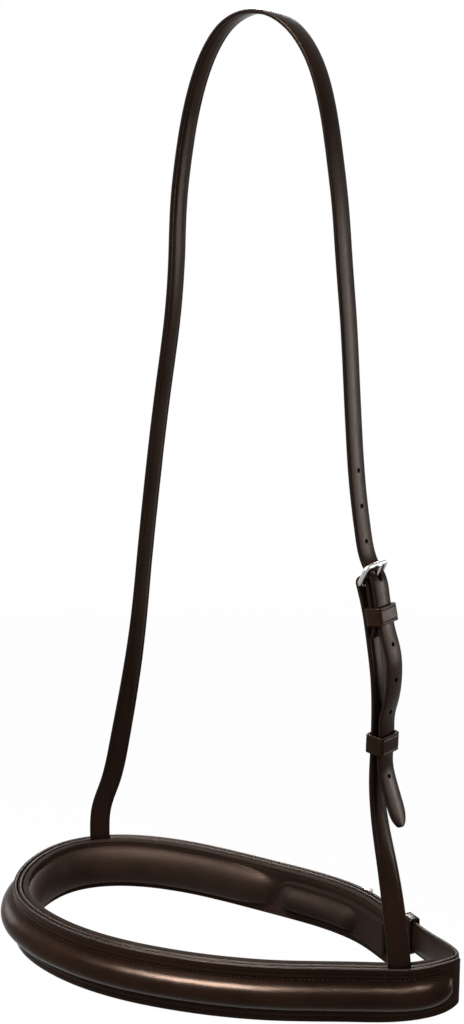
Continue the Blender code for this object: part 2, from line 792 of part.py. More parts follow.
def billet_way(place):
    """Outward place and height of the billet's middle, past the tip."""
    keeper_at = CHIN_BAR + CHIN_KEEPER_AT
    tail_at = CHIN_BAR + TAIL_KEEPER_AT
    outward = eased([
        (BILLET_TURNS, BAND_MIDDLE),
        (BAND_END, BILLET_ON_BAND),
        (BAND_END + BAND_STEP, BILLET_ON_BAND),
        (CHIN_BAR - chin_leaves.y, CHIN_BAR_OUT + chin_leaves.z),
        (CHIN_BAR - chin_lands.y, CHIN_OVER_BAR),
        (CHIN_BAR, CHIN_OVER_BAR),
        (keeper_at - FIXED_KEEPER_LENGTH / 2 - 2 * KEEPER_LANDING, CHIN_AT_KEEPER),
        (keeper_at + FIXED_KEEPER_LENGTH / 2 + 2 * KEEPER_LANDING, CHIN_AT_KEEPER),
        (tail_at - FIXED_KEEPER_LENGTH / 2 - 2 * KEEPER_LANDING, CHIN_AT_TAIL),
    ], place)
    rise = eased([
        (0, BILLET_RISE_AT_TIP),
        (BAND_END - END_LOOP_LENGTH, BILLET_RISE_AT_LOOP),
        (BAND_END, BILLET_RISE_AT_LOOP),
        (CHIN_BAR - CHIN_BUCKLE["reach"], BILLET_RISE_AT_BUCKLE),
    ], place)
    return outward, rise


def billet_width(place):
    """Width of the billet, from the tip to its rounded point."""
    rows = [(0, TIP_WIDTH), (BAND_END - END_LOOP_LENGTH - BAND_STEP, BILLET_WIDTH)]
    return eased(rows, place) * point_share(place, BILLET_END, BILLET_POINT)


# Band strap: full height from the rear end round to the tip, then the billet

band_rows = []
band_places = gather(
    spread(BAND_END, TIP - TIP_STRETCH, BAND_STEP),
    spread(TIP - TIP_STRETCH, TIP, BAND_STEP / 4),
)
for place in band_places:
    edges = (band_low(place), band_top(place))
    band_rows.append([ring_place(place, BAND_MIDDLE, edge) for edge in edges])
billet_places = gather(
    spread(BAND_STEP / 4, TIP_STRETCH, BAND_STEP / 4),
    spread(TIP_STRETCH, CHIN_BAR - 2 * BAND_STEP, BAND_STEP * 0.7),
    spread(CHIN_BAR - 2 * BAND_STEP, CHIN_BAR + CHIN_KEEPER_AT, BAND_STEP / 3),
    spread(CHIN_BAR + CHIN_KEEPER_AT, BILLET_END - BILLET_POINT, BAND_STEP * 0.8),
    point_places(BILLET_END, BILLET_POINT),
)
for place in billet_places:
    outward, rise = billet_way(place)
    half = billet_width(place) / 2
    band_rows.append([ring_place(place, outward, rise + side * half) for side in (-1, 1)])
band_strap = sheet("band_strap", band_rows, BAND_THICKNESS, 0, LEATHER, parts)

# Holes of the billet, and the pockets for the headstrap's ends
band_punch = cutter_object("band_strap_punch", cutters)
billet_route = Route([
    ring_place(place, *billet_way(place)) for place in spread(BAND_END, BILLET_END, 0.002)
])
chin_cross, chin_hole, chin_hole_length = tongue_hole(
    billet_route, CHIN_BUCKLE, CHIN_PLACE, BAND_THICKNESS
)


def chin_hole_place(distance):
    up = Vector((0, 0, 1))
    across, along, face = strap_axes(billet_route, distance, up)
    return axes_matrix(billet_route.point(distance), across, along, face)


punch_oblong(
    band_punch, chin_hole_place(chin_hole), chin_hole_length,
    2 * (CHIN_BUCKLE["tongue"] + SLOT_EXTRA), 3 * BAND_THICKNESS,
)
for step in BILLET_HOLES:
    hole_at = chin_cross + step * BILLET_HOLE_PITCH
    punch_round(band_punch, chin_hole_place(hole_at), BILLET_HOLE / 2, 2 * BAND_THICKNESS)
for place in (FAR_CHEEK, NEAR_CHEEK):
    forward, out = ring_axes(place)
    top = band_top(place)
    middle = ring_place(place, BAND_MIDDLE, top - POCKET_DEPTH / 2 + SEAM_GAP)
    size = (STRAP_WIDTH + 2 * SEAM_GAP, 2 * BAND_THICKNESS, POCKET_DEPTH + 4 * SEAM_GAP)
    box = axes_matrix(middle, forward, -out, Vector((0, 0, 1)))
    punch_box(band_punch, box, size)
cut(band_strap, band_punch)

# Chape of the chin buckle, sewn on the outside of the band and folded round the heel bar
chape_stations = []
leaf_radius = leaf_turn(CHIN_BUCKLE, CHAPE_THICKNESS)
chape_up = Vector((0, 0, 1))


def chape_station(place, outward):
    middle = ring_place(place, outward, BILLET_RISE_AT_BUCKLE)
    return middle, chape_up, BILLET_WIDTH


for place in spread(CHIN_BAR + CHAPE_LENGTH, CHIN_BAR, BAND_STEP * 0.8):
    chape_stations.append(chape_station(place, CHIN_LEAF))
for i in range(1, FOLD_STEPS):
    angle = math.pi * i / FOLD_STEPS
    middle = CHIN_PLACE @ Vector(
        (0, math.sin(angle) * leaf_radius, -math.cos(angle) * leaf_radius)
    )
    chape_stations.append((middle, chape_up, BILLET_WIDTH))
turn_rows = [
    (CHIN_BAR, CHIN_BAR_OUT + leaf_radius),
    (CHIN_BAR + CHIN_KEEPER_AT - FIXED_KEEPER_LENGTH / 2 - KEEPER_LANDING, CHIN_TURNED_LEAF),
    (CHIN_BAR + CHIN_KEEPER_AT + FIXED_KEEPER_LENGTH / 2 + KEEPER_LANDING, CHIN_TURNED_LEAF),
    (CHIN_BAR + CHAPE_TURN, CHIN_LEAF + CHAPE_THICKNESS + SEAM_GAP),
]
for place in spread(CHIN_BAR, CHIN_BAR + CHAPE_TURN, BAND_STEP / 3):
    chape_stations.append(chape_station(place, eased(turn_rows, place)))
chin_chape = ribbon("chin_buckle_chape", chape_stations, CHAPE_THICKNESS, LEATHER, parts)

chape_punch = cutter_object("chin_chape_punch", cutters)
tongue_slot(chape_punch, CHIN_BUCKLE, CHAPE_THICKNESS, CHIN_PLACE)
cut(chin_chape, chape_punch)
make_buckle("chin_buckle", CHIN_BUCKLE, CHIN_PLACE, STEEL, parts)

# Keepers of the chin: one in the chape, one for the tail, one at the band's end


def ring_keeper(name, place, inner, outer, rise, length, wall):
    """A keeper round the billet, from its inner clear face to its outer one."""
    forward, out = ring_axes(place)
    middle = ring_place(place, (inner + outer) / 2, rise)
    box = axes_matrix(middle, Vector((0, 0, 1)), out, forward)
    keeper(
        name, BILLET_WIDTH + 2 * SLIP_GAP, outer - inner, wall, length, box, LEATHER, parts
    )


chin_keeper_inner = CHIN_TURNED_LEAF - CHAPE_THICKNESS / 2 - SLIP_GAP
chin_keeper_outer = CHIN_AT_KEEPER + BAND_THICKNESS / 2 + SLIP_GAP
ring_keeper(
    "chin_fixed_keeper", CHIN_BAR + CHIN_KEEPER_AT, chin_keeper_inner, chin_keeper_outer,
    BILLET_RISE_AT_BUCKLE, FIXED_KEEPER_LENGTH, KEEPER_WALL,
)
tail_outer = CHIN_AT_TAIL + BAND_THICKNESS / 2 + SLIP_GAP
ring_keeper(
    "chin_tail_keeper", CHIN_BAR + TAIL_KEEPER_AT, TAIL_KEEPER_INNER - SLIP_GAP, tail_outer,
    BILLET_RISE_AT_BUCKLE, FIXED_KEEPER_LENGTH, KEEPER_WALL,
)
loop_at = BAND_END - SEAM_GAP - END_LOOP_LENGTH / 2
loop_out, loop_rise = billet_way(loop_at)
loop_half = BAND_THICKNESS / 2 + END_LOOP_PLAY
ring_keeper(
    "band_end_loop", loop_at, loop_out - loop_half, loop_out + loop_half,
    loop_rise, END_LOOP_LENGTH, END_LOOP_WALL,
)


# Cheek strap: from its fold round the heel bar down into the near cheek

CHEEK_BUCKLE = sized_buckle(CHEEK_FRAME, STRAP_THICKNESS, STRAP_THICKNESS, STRAP_WIDTH)
near_forward, _ = ring_axes(NEAR_CHEEK)
near_socket = ring_place(NEAR_CHEEK, BAND_MIDDLE, band_top(NEAR_CHEEK))
far_forward, _ = ring_axes(FAR_CHEEK)
far_socket = ring_place(FAR_CHEEK, BAND_MIDDLE, band_top(FAR_CHEEK))


def socket_points(socket):
    """The straight end of a strap in its pocket, from the bottom up."""
    drops = (POCKET_DEPTH - 2 * SEAM_GAP, POCKET_DEPTH / 2, 0.0)
    return [socket - Vector((0, 0, drop)) for drop in drops]


def hang(rows, top, socket):
    """Points of a strap from rows of x, y and the share of its fall from top to its socket."""
    return [Vector((x, y, top.z + (socket.z - top.z) * share)) for x, y, share in rows]


CHEEK_TOP = Vector((0.0818, 0.0, -0.3052))
CHEEK_FALL = [
    (0.0853, 0.0, 0.0483), (0.0900, 0.0, 0.1468), (0.0933, 0.0, 0.2407),
    (0.0944, 0.0, 0.3347), (0.0942, 0.0, 0.4242), (0.0938, 0.0, 0.5136),
    (0.0965, -0.0006, 0.6166), (0.1035, -0.0022, 0.7284), (0.1110, -0.0046, 0.8447),
    (0.1160, -0.0064, 0.9387),
]
cheek_hang = hang(CHEEK_FALL, CHEEK_TOP, near_socket)
cheek_route = Route([CHEEK_TOP] + cheek_hang + list(reversed(socket_points(near_socket))))


def cheek_across(z):
    """Direction across the near strap at a height, turning to lie along the band."""
    turn = math.atan2(near_forward.x, near_forward.y)
    turn *= eased([(NEAR_TWIST[0], 1), (NEAR_TWIST[1], 0)], z - RING_BOTTOM)
    return Vector((math.sin(turn), math.cos(turn), 0))


def cheek_axes(distance):
    """Across, along and outward on the cheek strap, at a distance below the heel bar."""
    point = cheek_route.point(distance)
    across, along, _ = strap_axes(cheek_route, distance, cheek_across(point.z))
    return point, across, along, along.cross(across).normalized()


def beside_cheek(distance, standoff):
    """A point outward of the cheek strap's middle."""
    point, _, _, outward = cheek_axes(distance)
    return point + outward * standoff


CHEEK_LEAF_TURN = leaf_turn(CHEEK_BUCKLE, STRAP_THICKNESS)
point, across, along, outward = cheek_axes(0.0)
CHEEK_PLACE = axes_matrix(point + outward * CHEEK_LEAF_TURN, across, -along, outward)

CHEEK_TURNED_LEAF = STRAP_THICKNESS + KEEPER_SPACE
turned_rows = [
    (0.0, 2 * CHEEK_LEAF_TURN),
    (CHEEK_KEEPER_AT - FIXED_KEEPER_LENGTH / 2 - KEEPER_LANDING, CHEEK_TURNED_LEAF),
    (CHEEK_KEEPER_AT + FIXED_KEEPER_LENGTH / 2 + KEEPER_LANDING, CHEEK_TURNED_LEAF),
    (CHEEK_TURN, STRAP_THICKNESS + SEAM_GAP),
]
cheek_stations = []
cheek_down = gather(
    spread(cheek_route.length, cheek_route.length - POCKET_DEPTH, POCKET_DEPTH / 2),
    spread(cheek_route.length - POCKET_DEPTH, 1.5 * CHEEK_TURN, STRAP_STEP / 2),
    spread(1.5 * CHEEK_TURN, 0.0, 1.5 * BEND_STEP),
)
for distance in cheek_down:
    point, across, _, _ = cheek_axes(distance)
    cheek_stations.append((point, across, STRAP_WIDTH))
fold_across = cheek_axes(0.0)[1]
for i in range(1, FOLD_STEPS):
    angle = math.pi * i / FOLD_STEPS
    middle = CHEEK_PLACE @ Vector(
        (0, math.sin(angle) * CHEEK_LEAF_TURN, -math.cos(angle) * CHEEK_LEAF_TURN)
    )
    cheek_stations.append((middle, fold_across, STRAP_WIDTH))
for distance in spread(0.0, CHEEK_TURN, BEND_STEP):
    middle = beside_cheek(distance, eased(turned_rows, distance))
    cheek_stations.append((middle, cheek_axes(distance)[1], STRAP_WIDTH))
cheek_strap = ribbon("cheek_strap", cheek_stations, STRAP_THICKNESS, LEATHER, parts)

cheek_punch = cutter_object("cheek_strap_punch", cutters)
tongue_slot(cheek_punch, CHEEK_BUCKLE, STRAP_THICKNESS, CHEEK_PLACE)
cut(cheek_strap, cheek_punch)
make_buckle("cheek_buckle", CHEEK_BUCKLE, CHEEK_PLACE, STEEL, parts)


# Headstrap: from the far cheek over the poll, through the buckle to its tail

FAR_TOP = Vector((-0.0577, 0.0, -0.1026))
FAR_FALL = [
    (-0.1312, -0.0024, 0.9530), (-0.1225, -0.0018, 0.8989), (-0.1136, -0.0012, 0.8258),
    (-0.1035, -0.0005, 0.7214), (-0.0957, 0.0, 0.6218), (-0.0898, 0.0, 0.5259),
    (-0.0839, 0.0, 0.4325), (-0.0777, 0.0, 0.3413), (-0.0705, 0.0, 0.2478),
    (-0.0640, 0.0, 0.1655), (-0.0600, 0.0, 0.0816),
]
FAR_CROWN = [
    (-0.0541, 0.0, -0.0797), (-0.0490, 0.0, -0.0571), (-0.0414, 0.0, -0.0349),
    (-0.0300, 0.0, -0.0150), (-0.0175, 0.0, -0.0035),
]
NEAR_LEG = [
    (0.0190, 0.0, -0.0020), (0.0335, 0.0, -0.0125), (0.0430, 0.0, -0.0260),
    (0.0500, 0.0, -0.0440), (0.0568, 0.0, -0.0749), (0.0606, 0.0, -0.0980),
    (0.0642, 0.0, -0.1300), (0.0676, 0.0, -0.1600), (0.0704, 0.0, -0.1925),
    (0.0732, 0.0, -0.2260), (0.0764, 0.0, -0.2540), (0.0802, 0.0, -0.2760),
]
crown_rise = Vector((0, 0, STRAP_THICKNESS / 2))
crown_ends = [Vector((side * CROWN_FLAT, 0, 0)) + crown_rise for side in (-1, 1)]
far_leg = hang(FAR_FALL, FAR_TOP, far_socket) + [FAR_TOP] + FAR_CROWN
far_route = Route(socket_points(far_socket) + far_leg + [crown_ends[0]])

STANDOFF_AT_BAR = CHEEK_LEAF_TURN + wrap_radius(CHEEK_BUCKLE, STRAP_THICKNESS, STRAP_THICKNESS)
STANDOFF_AT_KEEPER = CHEEK_TURNED_LEAF + STRAP_THICKNESS + SLIP_GAP + KEEPER_EASE
KEEPER_REACH = FIXED_KEEPER_LENGTH / 2 + KEEPER_LANDING
STANDOFFS = [
    (0.0, STANDOFF_AT_BAR),
    (CHEEK_KEEPER_AT - KEEPER_REACH, STANDOFF_AT_KEEPER),
    (CHEEK_KEEPER_AT, STANDOFF_AT_KEEPER),
    (CHEEK_KEEPER_AT + KEEPER_REACH, STANDOFF_AT_KEEPER),
    (0.0390, 0.0117), (0.0550, 0.0108), (0.0680, 0.0080),
    (0.0780, RUNNER_STANDOFF), (0.0870, RUNNER_STANDOFF), (0.0960, RUNNER_STANDOFF),
    (0.1050, RUNNER_STANDOFF), (0.1180, 0.0088), (0.1320, 0.0128), (TAIL_DISTANCE, 0.0158),
]
over_buckle = [
    CHEEK_PLACE @ point
    for point in strap_between(CHEEK_BUCKLE, STRAP_THICKNESS, STRAP_THICKNESS)
]
near_route = Route(
    [crown_ends[1]] + NEAR_LEG + over_buckle
    + [beside_cheek(distance, standoff) for distance, standoff in STANDOFFS]
)


def far_across(z):
    """Direction across the far strap at a height, turning to lie along the band."""
    turn = math.atan2(-far_forward.x, -far_forward.y)
    turn *= eased([(FAR_TWIST[0], 1), (FAR_TWIST[1], 0)], z - RING_BOTTOM)
    return Vector((math.sin(turn), math.cos(turn), 0))


def strap_station(route, distance, direction, width):
    point = route.point(distance)
    across, _, _ = strap_axes(route, distance, direction(point.z))
    return point, across, width


head_stations = []
far_places = gather(
    spread(0.0, POCKET_DEPTH, POCKET_DEPTH / 2),
    spread(POCKET_DEPTH, far_route.length - CROWN_BEND, STRAP_STEP),
    spread(far_route.length - CROWN_BEND, far_route.length, STRAP_STEP / 3),
)
for distance in far_places:
    head_stations.append(strap_station(far_route, distance, far_across, STRAP_WIDTH))
bar_distance = near_route.nearest(beside_cheek(0.0, STANDOFF_AT_BAR))
near_places = gather(
    spread(0.0, CROWN_BEND, STRAP_STEP / 3),
    spread(CROWN_BEND, bar_distance - BUCKLE_BEND, STRAP_STEP),
    spread(bar_distance - BUCKLE_BEND, bar_distance + BUCKLE_BEND, BEND_STEP),
    spread(bar_distance + BUCKLE_BEND, near_route.length - STRAP_POINT, 2 * BEND_STEP),
    point_places(near_route.length, STRAP_POINT),
)
for distance in near_places:
    width = STRAP_WIDTH * point_share(distance, near_route.length, STRAP_POINT)
    head_stations.append(strap_station(near_route, distance, cheek_across, width))
headstrap = ribbon("headstrap", head_stations, STRAP_THICKNESS, LEATHER, parts)

head_punch = cutter_object("headstrap_punch", cutters)
cheek_cross, cheek_hole, cheek_hole_length = tongue_hole(
    near_route, CHEEK_BUCKLE, CHEEK_PLACE, STRAP_THICKNESS
)


def strap_hole_place(distance):
    point = near_route.point(distance)
    across, along, face = strap_axes(near_route, distance, cheek_across(point.z))
    return axes_matrix(point, across, along, face)


punch_oblong(
    head_punch, strap_hole_place(cheek_hole), cheek_hole_length,
    2 * (CHEEK_BUCKLE["tongue"] + SLOT_EXTRA), 3 * STRAP_THICKNESS,
)
for step in range(-STRAP_HOLES_ABOVE, STRAP_HOLES_BELOW + 1):
    if step == 0:
        continue
    hole_at = cheek_cross + step * STRAP_HOLE_PITCH
    punch_round(head_punch, strap_hole_place(hole_at), STRAP_HOLE / 2, 2 * STRAP_THICKNESS)
cut(headstrap, head_punch)


# Cheek keepers, on the axes of the cheek strap

def cheek_keeper(name, distance, inner, outer, length):
    """A keeper across the cheek strap, its clear space from inner to outer standoff."""
    point, across, along, outward = cheek_axes(distance)
    middle = point + outward * (inner + outer) / 2
    box = axes_matrix(middle, across, outward, across.cross(outward))
    keeper(
        name, STRAP_WIDTH + 2 * SLIP_GAP, outer - inner, KEEPER_WALL, length, box, LEATHER, parts
    )


cheek_keeper(
    "cheek_fixed_keeper", CHEEK_KEEPER_AT,
    CHEEK_TURNED_LEAF - STRAP_THICKNESS / 2 - SLIP_GAP,
    STANDOFF_AT_KEEPER + STRAP_THICKNESS / 2 + SLIP_GAP, FIXED_KEEPER_LENGTH,
)
cheek_keeper(
    "cheek_runner", CHEEK_RUNNER_AT,
    -STRAP_THICKNESS / 2 - SLIP_GAP,
    RUNNER_STANDOFF + STRAP_THICKNESS / 2 + SLIP_GAP, RUNNER_LENGTH,
)
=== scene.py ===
"""Looks of a padded, raised noseband on its headstrap, in havana leather with steel buckles.

The nose lies along -Y, the cheek with the buckle is at +X and +Z is up. Lengths are in metres.
Each leather is lofted through its own cross-section along the way that it runs.
"""

import functools
import math

import bmesh
import bpy
import numpy as np
from bpy.props import FloatProperty, FloatVectorProperty, IntProperty, PointerProperty
from mathutils import Matrix, Vector, noise


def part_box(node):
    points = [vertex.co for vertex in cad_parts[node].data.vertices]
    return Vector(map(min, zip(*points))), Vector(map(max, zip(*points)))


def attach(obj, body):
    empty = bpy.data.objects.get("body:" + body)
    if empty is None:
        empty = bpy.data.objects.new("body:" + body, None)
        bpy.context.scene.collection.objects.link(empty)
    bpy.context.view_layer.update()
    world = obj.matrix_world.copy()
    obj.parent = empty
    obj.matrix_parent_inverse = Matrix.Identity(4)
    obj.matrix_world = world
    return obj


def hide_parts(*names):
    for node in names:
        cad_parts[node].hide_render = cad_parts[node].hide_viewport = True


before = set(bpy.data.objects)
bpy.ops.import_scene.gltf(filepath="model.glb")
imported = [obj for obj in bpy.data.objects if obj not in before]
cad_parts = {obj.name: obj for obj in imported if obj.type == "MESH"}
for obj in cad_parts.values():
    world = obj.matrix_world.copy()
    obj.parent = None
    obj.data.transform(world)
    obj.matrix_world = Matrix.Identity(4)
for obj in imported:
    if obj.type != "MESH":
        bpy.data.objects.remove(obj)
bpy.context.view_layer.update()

bl_info = {
    "name": "Padded Noseband",
    "version": (1, 0, 0),
    "blender": (4, 5, 0),
    "location": "View3D > Sidebar > Noseband",
    "description": "Dresses a padded noseband and its headstrap in leather, thread and steel",
    "category": "Add Mesh",
}

# Bodies that the pieces ride on
BAND = "noseband"
RUNNER = "runner"

# Fits between the solids
SEAM_GAP = 0.0003
SLIP_GAP = 0.0003

# Ring in plan: outer face of its flat edges, from the right tip round the rear
RING_PLAN = [
    (0.1432, 0.0212), (0.0962, 0.0427), (0.0441, 0.0578), (-0.0274, 0.0488),
    (-0.1024, 0.0259), (-0.1355, 0.0003), (-0.1456, -0.0188), (-0.1445, -0.0540),
    (-0.1175, -0.0922), (-0.0667, -0.1059), (0.0084, -0.0886), (0.0641, -0.0564),
    (0.1044, -0.0230),
]
RING_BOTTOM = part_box("band_strap")[0].z

# Places round the ring, as distances from the right tip past the rear
BAND_END = 0.0690
CHIN_BAR = 0.1245
PAD_DOME_START = 0.1025
PAD_END = 0.1675
LINING_DOME_START = 0.1705
FAR_CHEEK = 0.3010
NEAR_CHEEK_TO_TIP = 0.040

# Layers of the band
BAND_HEIGHT = 0.034
NOSE_HEIGHT = 0.0353
NEAR_CHEEK_HEIGHT = 0.0345
COVER_THICKNESS = 0.0022
BAND_THICKNESS = 0.0036
LINING_THICKNESS = 0.0032
COVER_DOME_WIDTH = 0.0178   # outside the raised cover
COVER_DOME_RISE = 0.0084
LINING_DOME_WIDTH = 0.0262  # outside the padded lining
LINING_DOME_RISE = 0.0082
DOME_FADE = 0.022
COVER_SETBACK = 0.003
LINING_PAST_CHEEK = 0.022
RAISE_PAST_CHEEK = 0.031

# Chin pad
PAD_WIDTH = 0.0225
PAD_MIDDLE = 0.017
PAD_BACK_THICKNESS = 0.0014
PAD_COVER_THICKNESS = 0.0016
PAD_DOME_WIDTH = 0.0160
PAD_DOME_RISE = 0.0066
PAD_SETBACK = 0.003

# Billet
BILLET_WIDTH = 0.020
TIP_WIDTH = 0.0235
BILLET_RISE_AT_TIP = 0.0275
BILLET_RISE_AT_LOOP = 0.0218
BILLET_RISE_AT_BUCKLE = 0.0145
BILLET_TURNS = 0.004
CORNER_LENGTH = 0.060
BILLET_END = 0.2105
BILLET_POINT = 0.016
BILLET_HOLE = 0.0035
BILLET_HOLE_PITCH = 0.020
BILLET_HOLES = (-1, 1, 2, 3)

# Headstrap and cheek strap
STRAP_WIDTH = 0.0132
STRAP_THICKNESS = 0.0033
STRAP_POINT = 0.012
STRAP_HOLE = 0.0028
STRAP_HOLE_PITCH = 0.020
STRAP_HOLES_ABOVE = 3
STRAP_HOLES_BELOW = 6
POCKET_DEPTH = 0.022
CROWN_FLAT = 0.006
CROWN_BLEND = 0.018         # how far down each leg the crown's own curve reaches
NEAR_TWIST = (0.037, 0.132)
FAR_TWIST = (0.062, 0.232)
RUNNER_STANDOFF = 0.0054
TAIL_DISTANCE = 0.1440

# Keepers
KEEPER_WALL = 0.0016
FIXED_KEEPER_LENGTH = 0.010
RUNNER_LENGTH = 0.0110
END_LOOP_LENGTH = 0.009
END_LOOP_PLAY = 0.0004
KEEPER_LANDING = 0.001
KEEPER_EASE = 0.0004

# Buckles: radius of each wire, and how the frame lies to the leathers, in degrees
CHEEK_FRAME = {"bar": 0.0014, "tongue": 0.0011, "tilt": 44, "crossing": 64, "corner": 0.0022}
CHIN_FRAME = {"bar": 0.0015, "tongue": 0.0011, "tilt": 22, "crossing": 40, "corner": 0.0024}
BUCKLE_PLAY = 0.0006
TONGUE_OVERHANG = 0.0022
TONGUE_EYE_TURN = 262
SLOT_EXTRA = 0.0006
TONGUE_SWING = 16
WRAP_SLACK = 0.0002

# Chape of the chin buckle, and where the fittings sit
CHAPE_THICKNESS = 0.0024
CHAPE_LENGTH = 0.044
CHAPE_TURN = 0.030
CHIN_KEEPER_AT = 0.016
TAIL_KEEPER_AT = 0.058
CHEEK_TURN = 0.031
CHEEK_KEEPER_AT = 0.0185
CHEEK_RUNNER_AT = 0.0925

# Ways of the hanging straps
CHEEK_TOP = Vector((0.0818, 0.0, -0.3052))
CHEEK_FALL = [
    (0.0853, 0.0, 0.0483), (0.0900, 0.0, 0.1468), (0.0933, 0.0, 0.2407),
    (0.0944, 0.0, 0.3347), (0.0942, 0.0, 0.4242), (0.0938, 0.0, 0.5136),
    (0.0965, -0.0006, 0.6166), (0.1035, -0.0022, 0.7284), (0.1110, -0.0046, 0.8447),
    (0.1160, -0.0064, 0.9387),
]
FAR_TOP = Vector((-0.0577, 0.0, -0.1026))
FAR_FALL = [
    (-0.1312, -0.0024, 0.9530), (-0.1225, -0.0018, 0.8989), (-0.1136, -0.0012, 0.8258),
    (-0.1035, -0.0005, 0.7214), (-0.0957, 0.0, 0.6218), (-0.0898, 0.0, 0.5259),
    (-0.0839, 0.0, 0.4325), (-0.0777, 0.0, 0.3413), (-0.0705, 0.0, 0.2478),
    (-0.0640, 0.0, 0.1655), (-0.0600, 0.0, 0.0816),
]
FAR_CROWN = [
    (-0.0541, 0.0, -0.0797), (-0.0490, 0.0, -0.0571), (-0.0414, 0.0, -0.0349),
    (-0.0300, 0.0, -0.0150), (-0.0175, 0.0, -0.0035),
]
NEAR_LEG = [
    (0.0190, 0.0, -0.0020), (0.0335, 0.0, -0.0125), (0.0430, 0.0, -0.0260),
    (0.0500, 0.0, -0.0440), (0.0568, 0.0, -0.0749), (0.0606, 0.0, -0.0980),
    (0.0642, 0.0, -0.1300), (0.0676, 0.0, -0.1600), (0.0704, 0.0, -0.1925),
    (0.0732, 0.0, -0.2260), (0.0764, 0.0, -0.2540), (0.0802, 0.0, -0.2760),
]

# How finely the leathers are made
SPLINE_SAMPLES = 60
BAND_STEP = 0.0022
TIP_STRETCH = 0.024         # stretch before the tip with closer sections
STRAP_STEP = 0.0025
TURN_STEP = 0.0012          # where a strap bends, and along turned ends
COVER_TIP_STEP = 0.0009
STRAP_TIP_STEP = 0.0008
BILLET_SPACING = 0.0015
BUCKLE_STEP = 0.001
BUCKLE_BEND = 0.030         # bent stretch of the headstrap before and after its buckle
CHAPE_STEP = 0.002
EDGE_STEPS = 5
FOLD_STEPS = 12
END_TURNS = (90, 60, 30)
DOME_SAMPLES = 20
EDGE_POWER = 0.75           # below 1 makes a cut edge boxier than a half round
STRAP_CROWN = 0.0007        # fall of a strap's face from its middle to its edges
PAD_END_STEPS = 15
PAD_END_TURN = math.radians(88)
BOND = 0.00005              # what shows of the seam between sewn leathers
SMOOTH_ANGLE = math.radians(50)
CUT_SMOOTH_ANGLE = math.radians(38)
UP = Vector((0, 0, 1))

# Worked leather: its waves along and across in a metre, and how much the finer ones add
COARSE_WAVES = (70, 90)
FINE_WAVES = (240, 260)
FINE_SHARE = 0.35

# Swelled leathers, across the band
SWELL_POWER = 0.58          # roundness of a swell, where 0.5 is an ellipse
SWELL_END_WIDTH = 0.35      # share of its width that a swell keeps where it fades out
FLAT_LEFT = 0.0006          # least flat leather between a swell and the rounded edge
GROOVE_HALF = 0.00065       # half width of the groove that a stitch row is sunk in
GROOVE_TO_EDGE = 0.0002
GROOVE_SHOULDER = 0.7       # share of that half width on the swell's side
FLAT_WAVINESS = 0.4         # share of the waviness off the swell

# Keepers and tongues
KEEPER_CORNER = 0.0014
KEEPER_EDGE = 0.00055
TONGUE_SIDES = 16
TONGUE_EYE_STEPS = 28
TONGUE_STEPS = 24
TONGUE_TIP_TURNS = (20, 45, 70, 88)
TONGUE_NARROWING = 0.22
TONGUE_THINNING = 0.30
TONGUE_EYE_END = 0.7        # share of the tongue's thickness where its eye closes on it
TONGUE_SMOOTH_ANGLE = math.radians(60)

# Stitch rows
STRAP_ROW_INSET = 0.0021
LINING_ROW_INSET = 0.0021
PAD_ROW_INSET = 0.0017
ROW_FROM_END = 0.003
ROW_FROM_TIP = 0.0036
ROW_BEFORE_SWELL = 0.004
ROW_FROM_LEAF_END = 0.002
CHEEK_ROW_START = 0.0045
CHAPE_ROW_START = 0.006
ROW_STEP = 0.002
TIP_ROW_STEP = 0.001
LEAF_ROW_STEP = 0.0015
PAD_ROW_STEPS = 24
POCKET_ROW_LIFT = 0.0001
POCKET_ROW_OFFSET = 0.0016  # from the strap's edge, where it enters the band
POCKET_ROW_RISES = (-0.0030, -0.0092)
SUNK_SHARE = 0.35           # how far the thread lies down in its groove


def length_property(name, description, default, low=0.0001):
    return FloatProperty(
        name=name, description=description, default=default, min=low, unit="LENGTH"
    )


def colour_property(name, description, default):
    return FloatVectorProperty(
        name=name, description=description, default=default, min=0, max=1, subtype="COLOR"
    )


def power_property(name, description, default):
    return FloatProperty(
        name=name, description=description, default=default, min=0, unit="POWER"
    )


class NosebandLeather(bpy.types.PropertyGroup):
    """Finish of the leathers' surface and edges."""

    edge_reach: length_property("Edge rounding", "How far a cut edge is rounded in", 0.0011)
    crease_inset: length_property(
        "Crease inset", "Creased line in from the band's edge", 0.0040, 0.001
    )
    strap_crease_inset: length_property(
        "Strap crease inset", "Creased line in from a strap's edge", 0.0019, 0.001
    )
    crease_depth: length_property("Crease depth", "Depth of the creased lines", 0.00022, 0)
    crease_width: length_property("Crease width", "Half width of the creased lines", 0.0006)
    waviness: length_property("Waviness", "Height of the hand-worked unevenness", 0.00016, 0)
    colour: colour_property("Leather", "Colour of the outer leather", (0.0155, 0.0070, 0.0041))
    lining_colour: colour_property(
        "Lining", "Colour of the softer lining leather", (0.0160, 0.0078, 0.0050)
    )
    # Painted shade: the chin pad's colour is darker than the lining's, standing in for the shade
    # inside the rear band.
    pad_shaded_colour: colour_property(
        "Chin pad", "Colour of the chin pad's leather", (0.0074, 0.0036, 0.0025)
    )
    edge_colour: colour_property(
        "Burnished edge", "Colour of the dyed and burnished cut edges", (0.0080, 0.0043, 0.0031)
    )
    worn_colour: colour_property(
        "Worn leather", "Colour that handling brings out", (0.036, 0.0180, 0.0110)
    )
    grain: FloatProperty(
        name="Grain", description="Grain cells in a metre of leather", default=1150, min=1,
    )


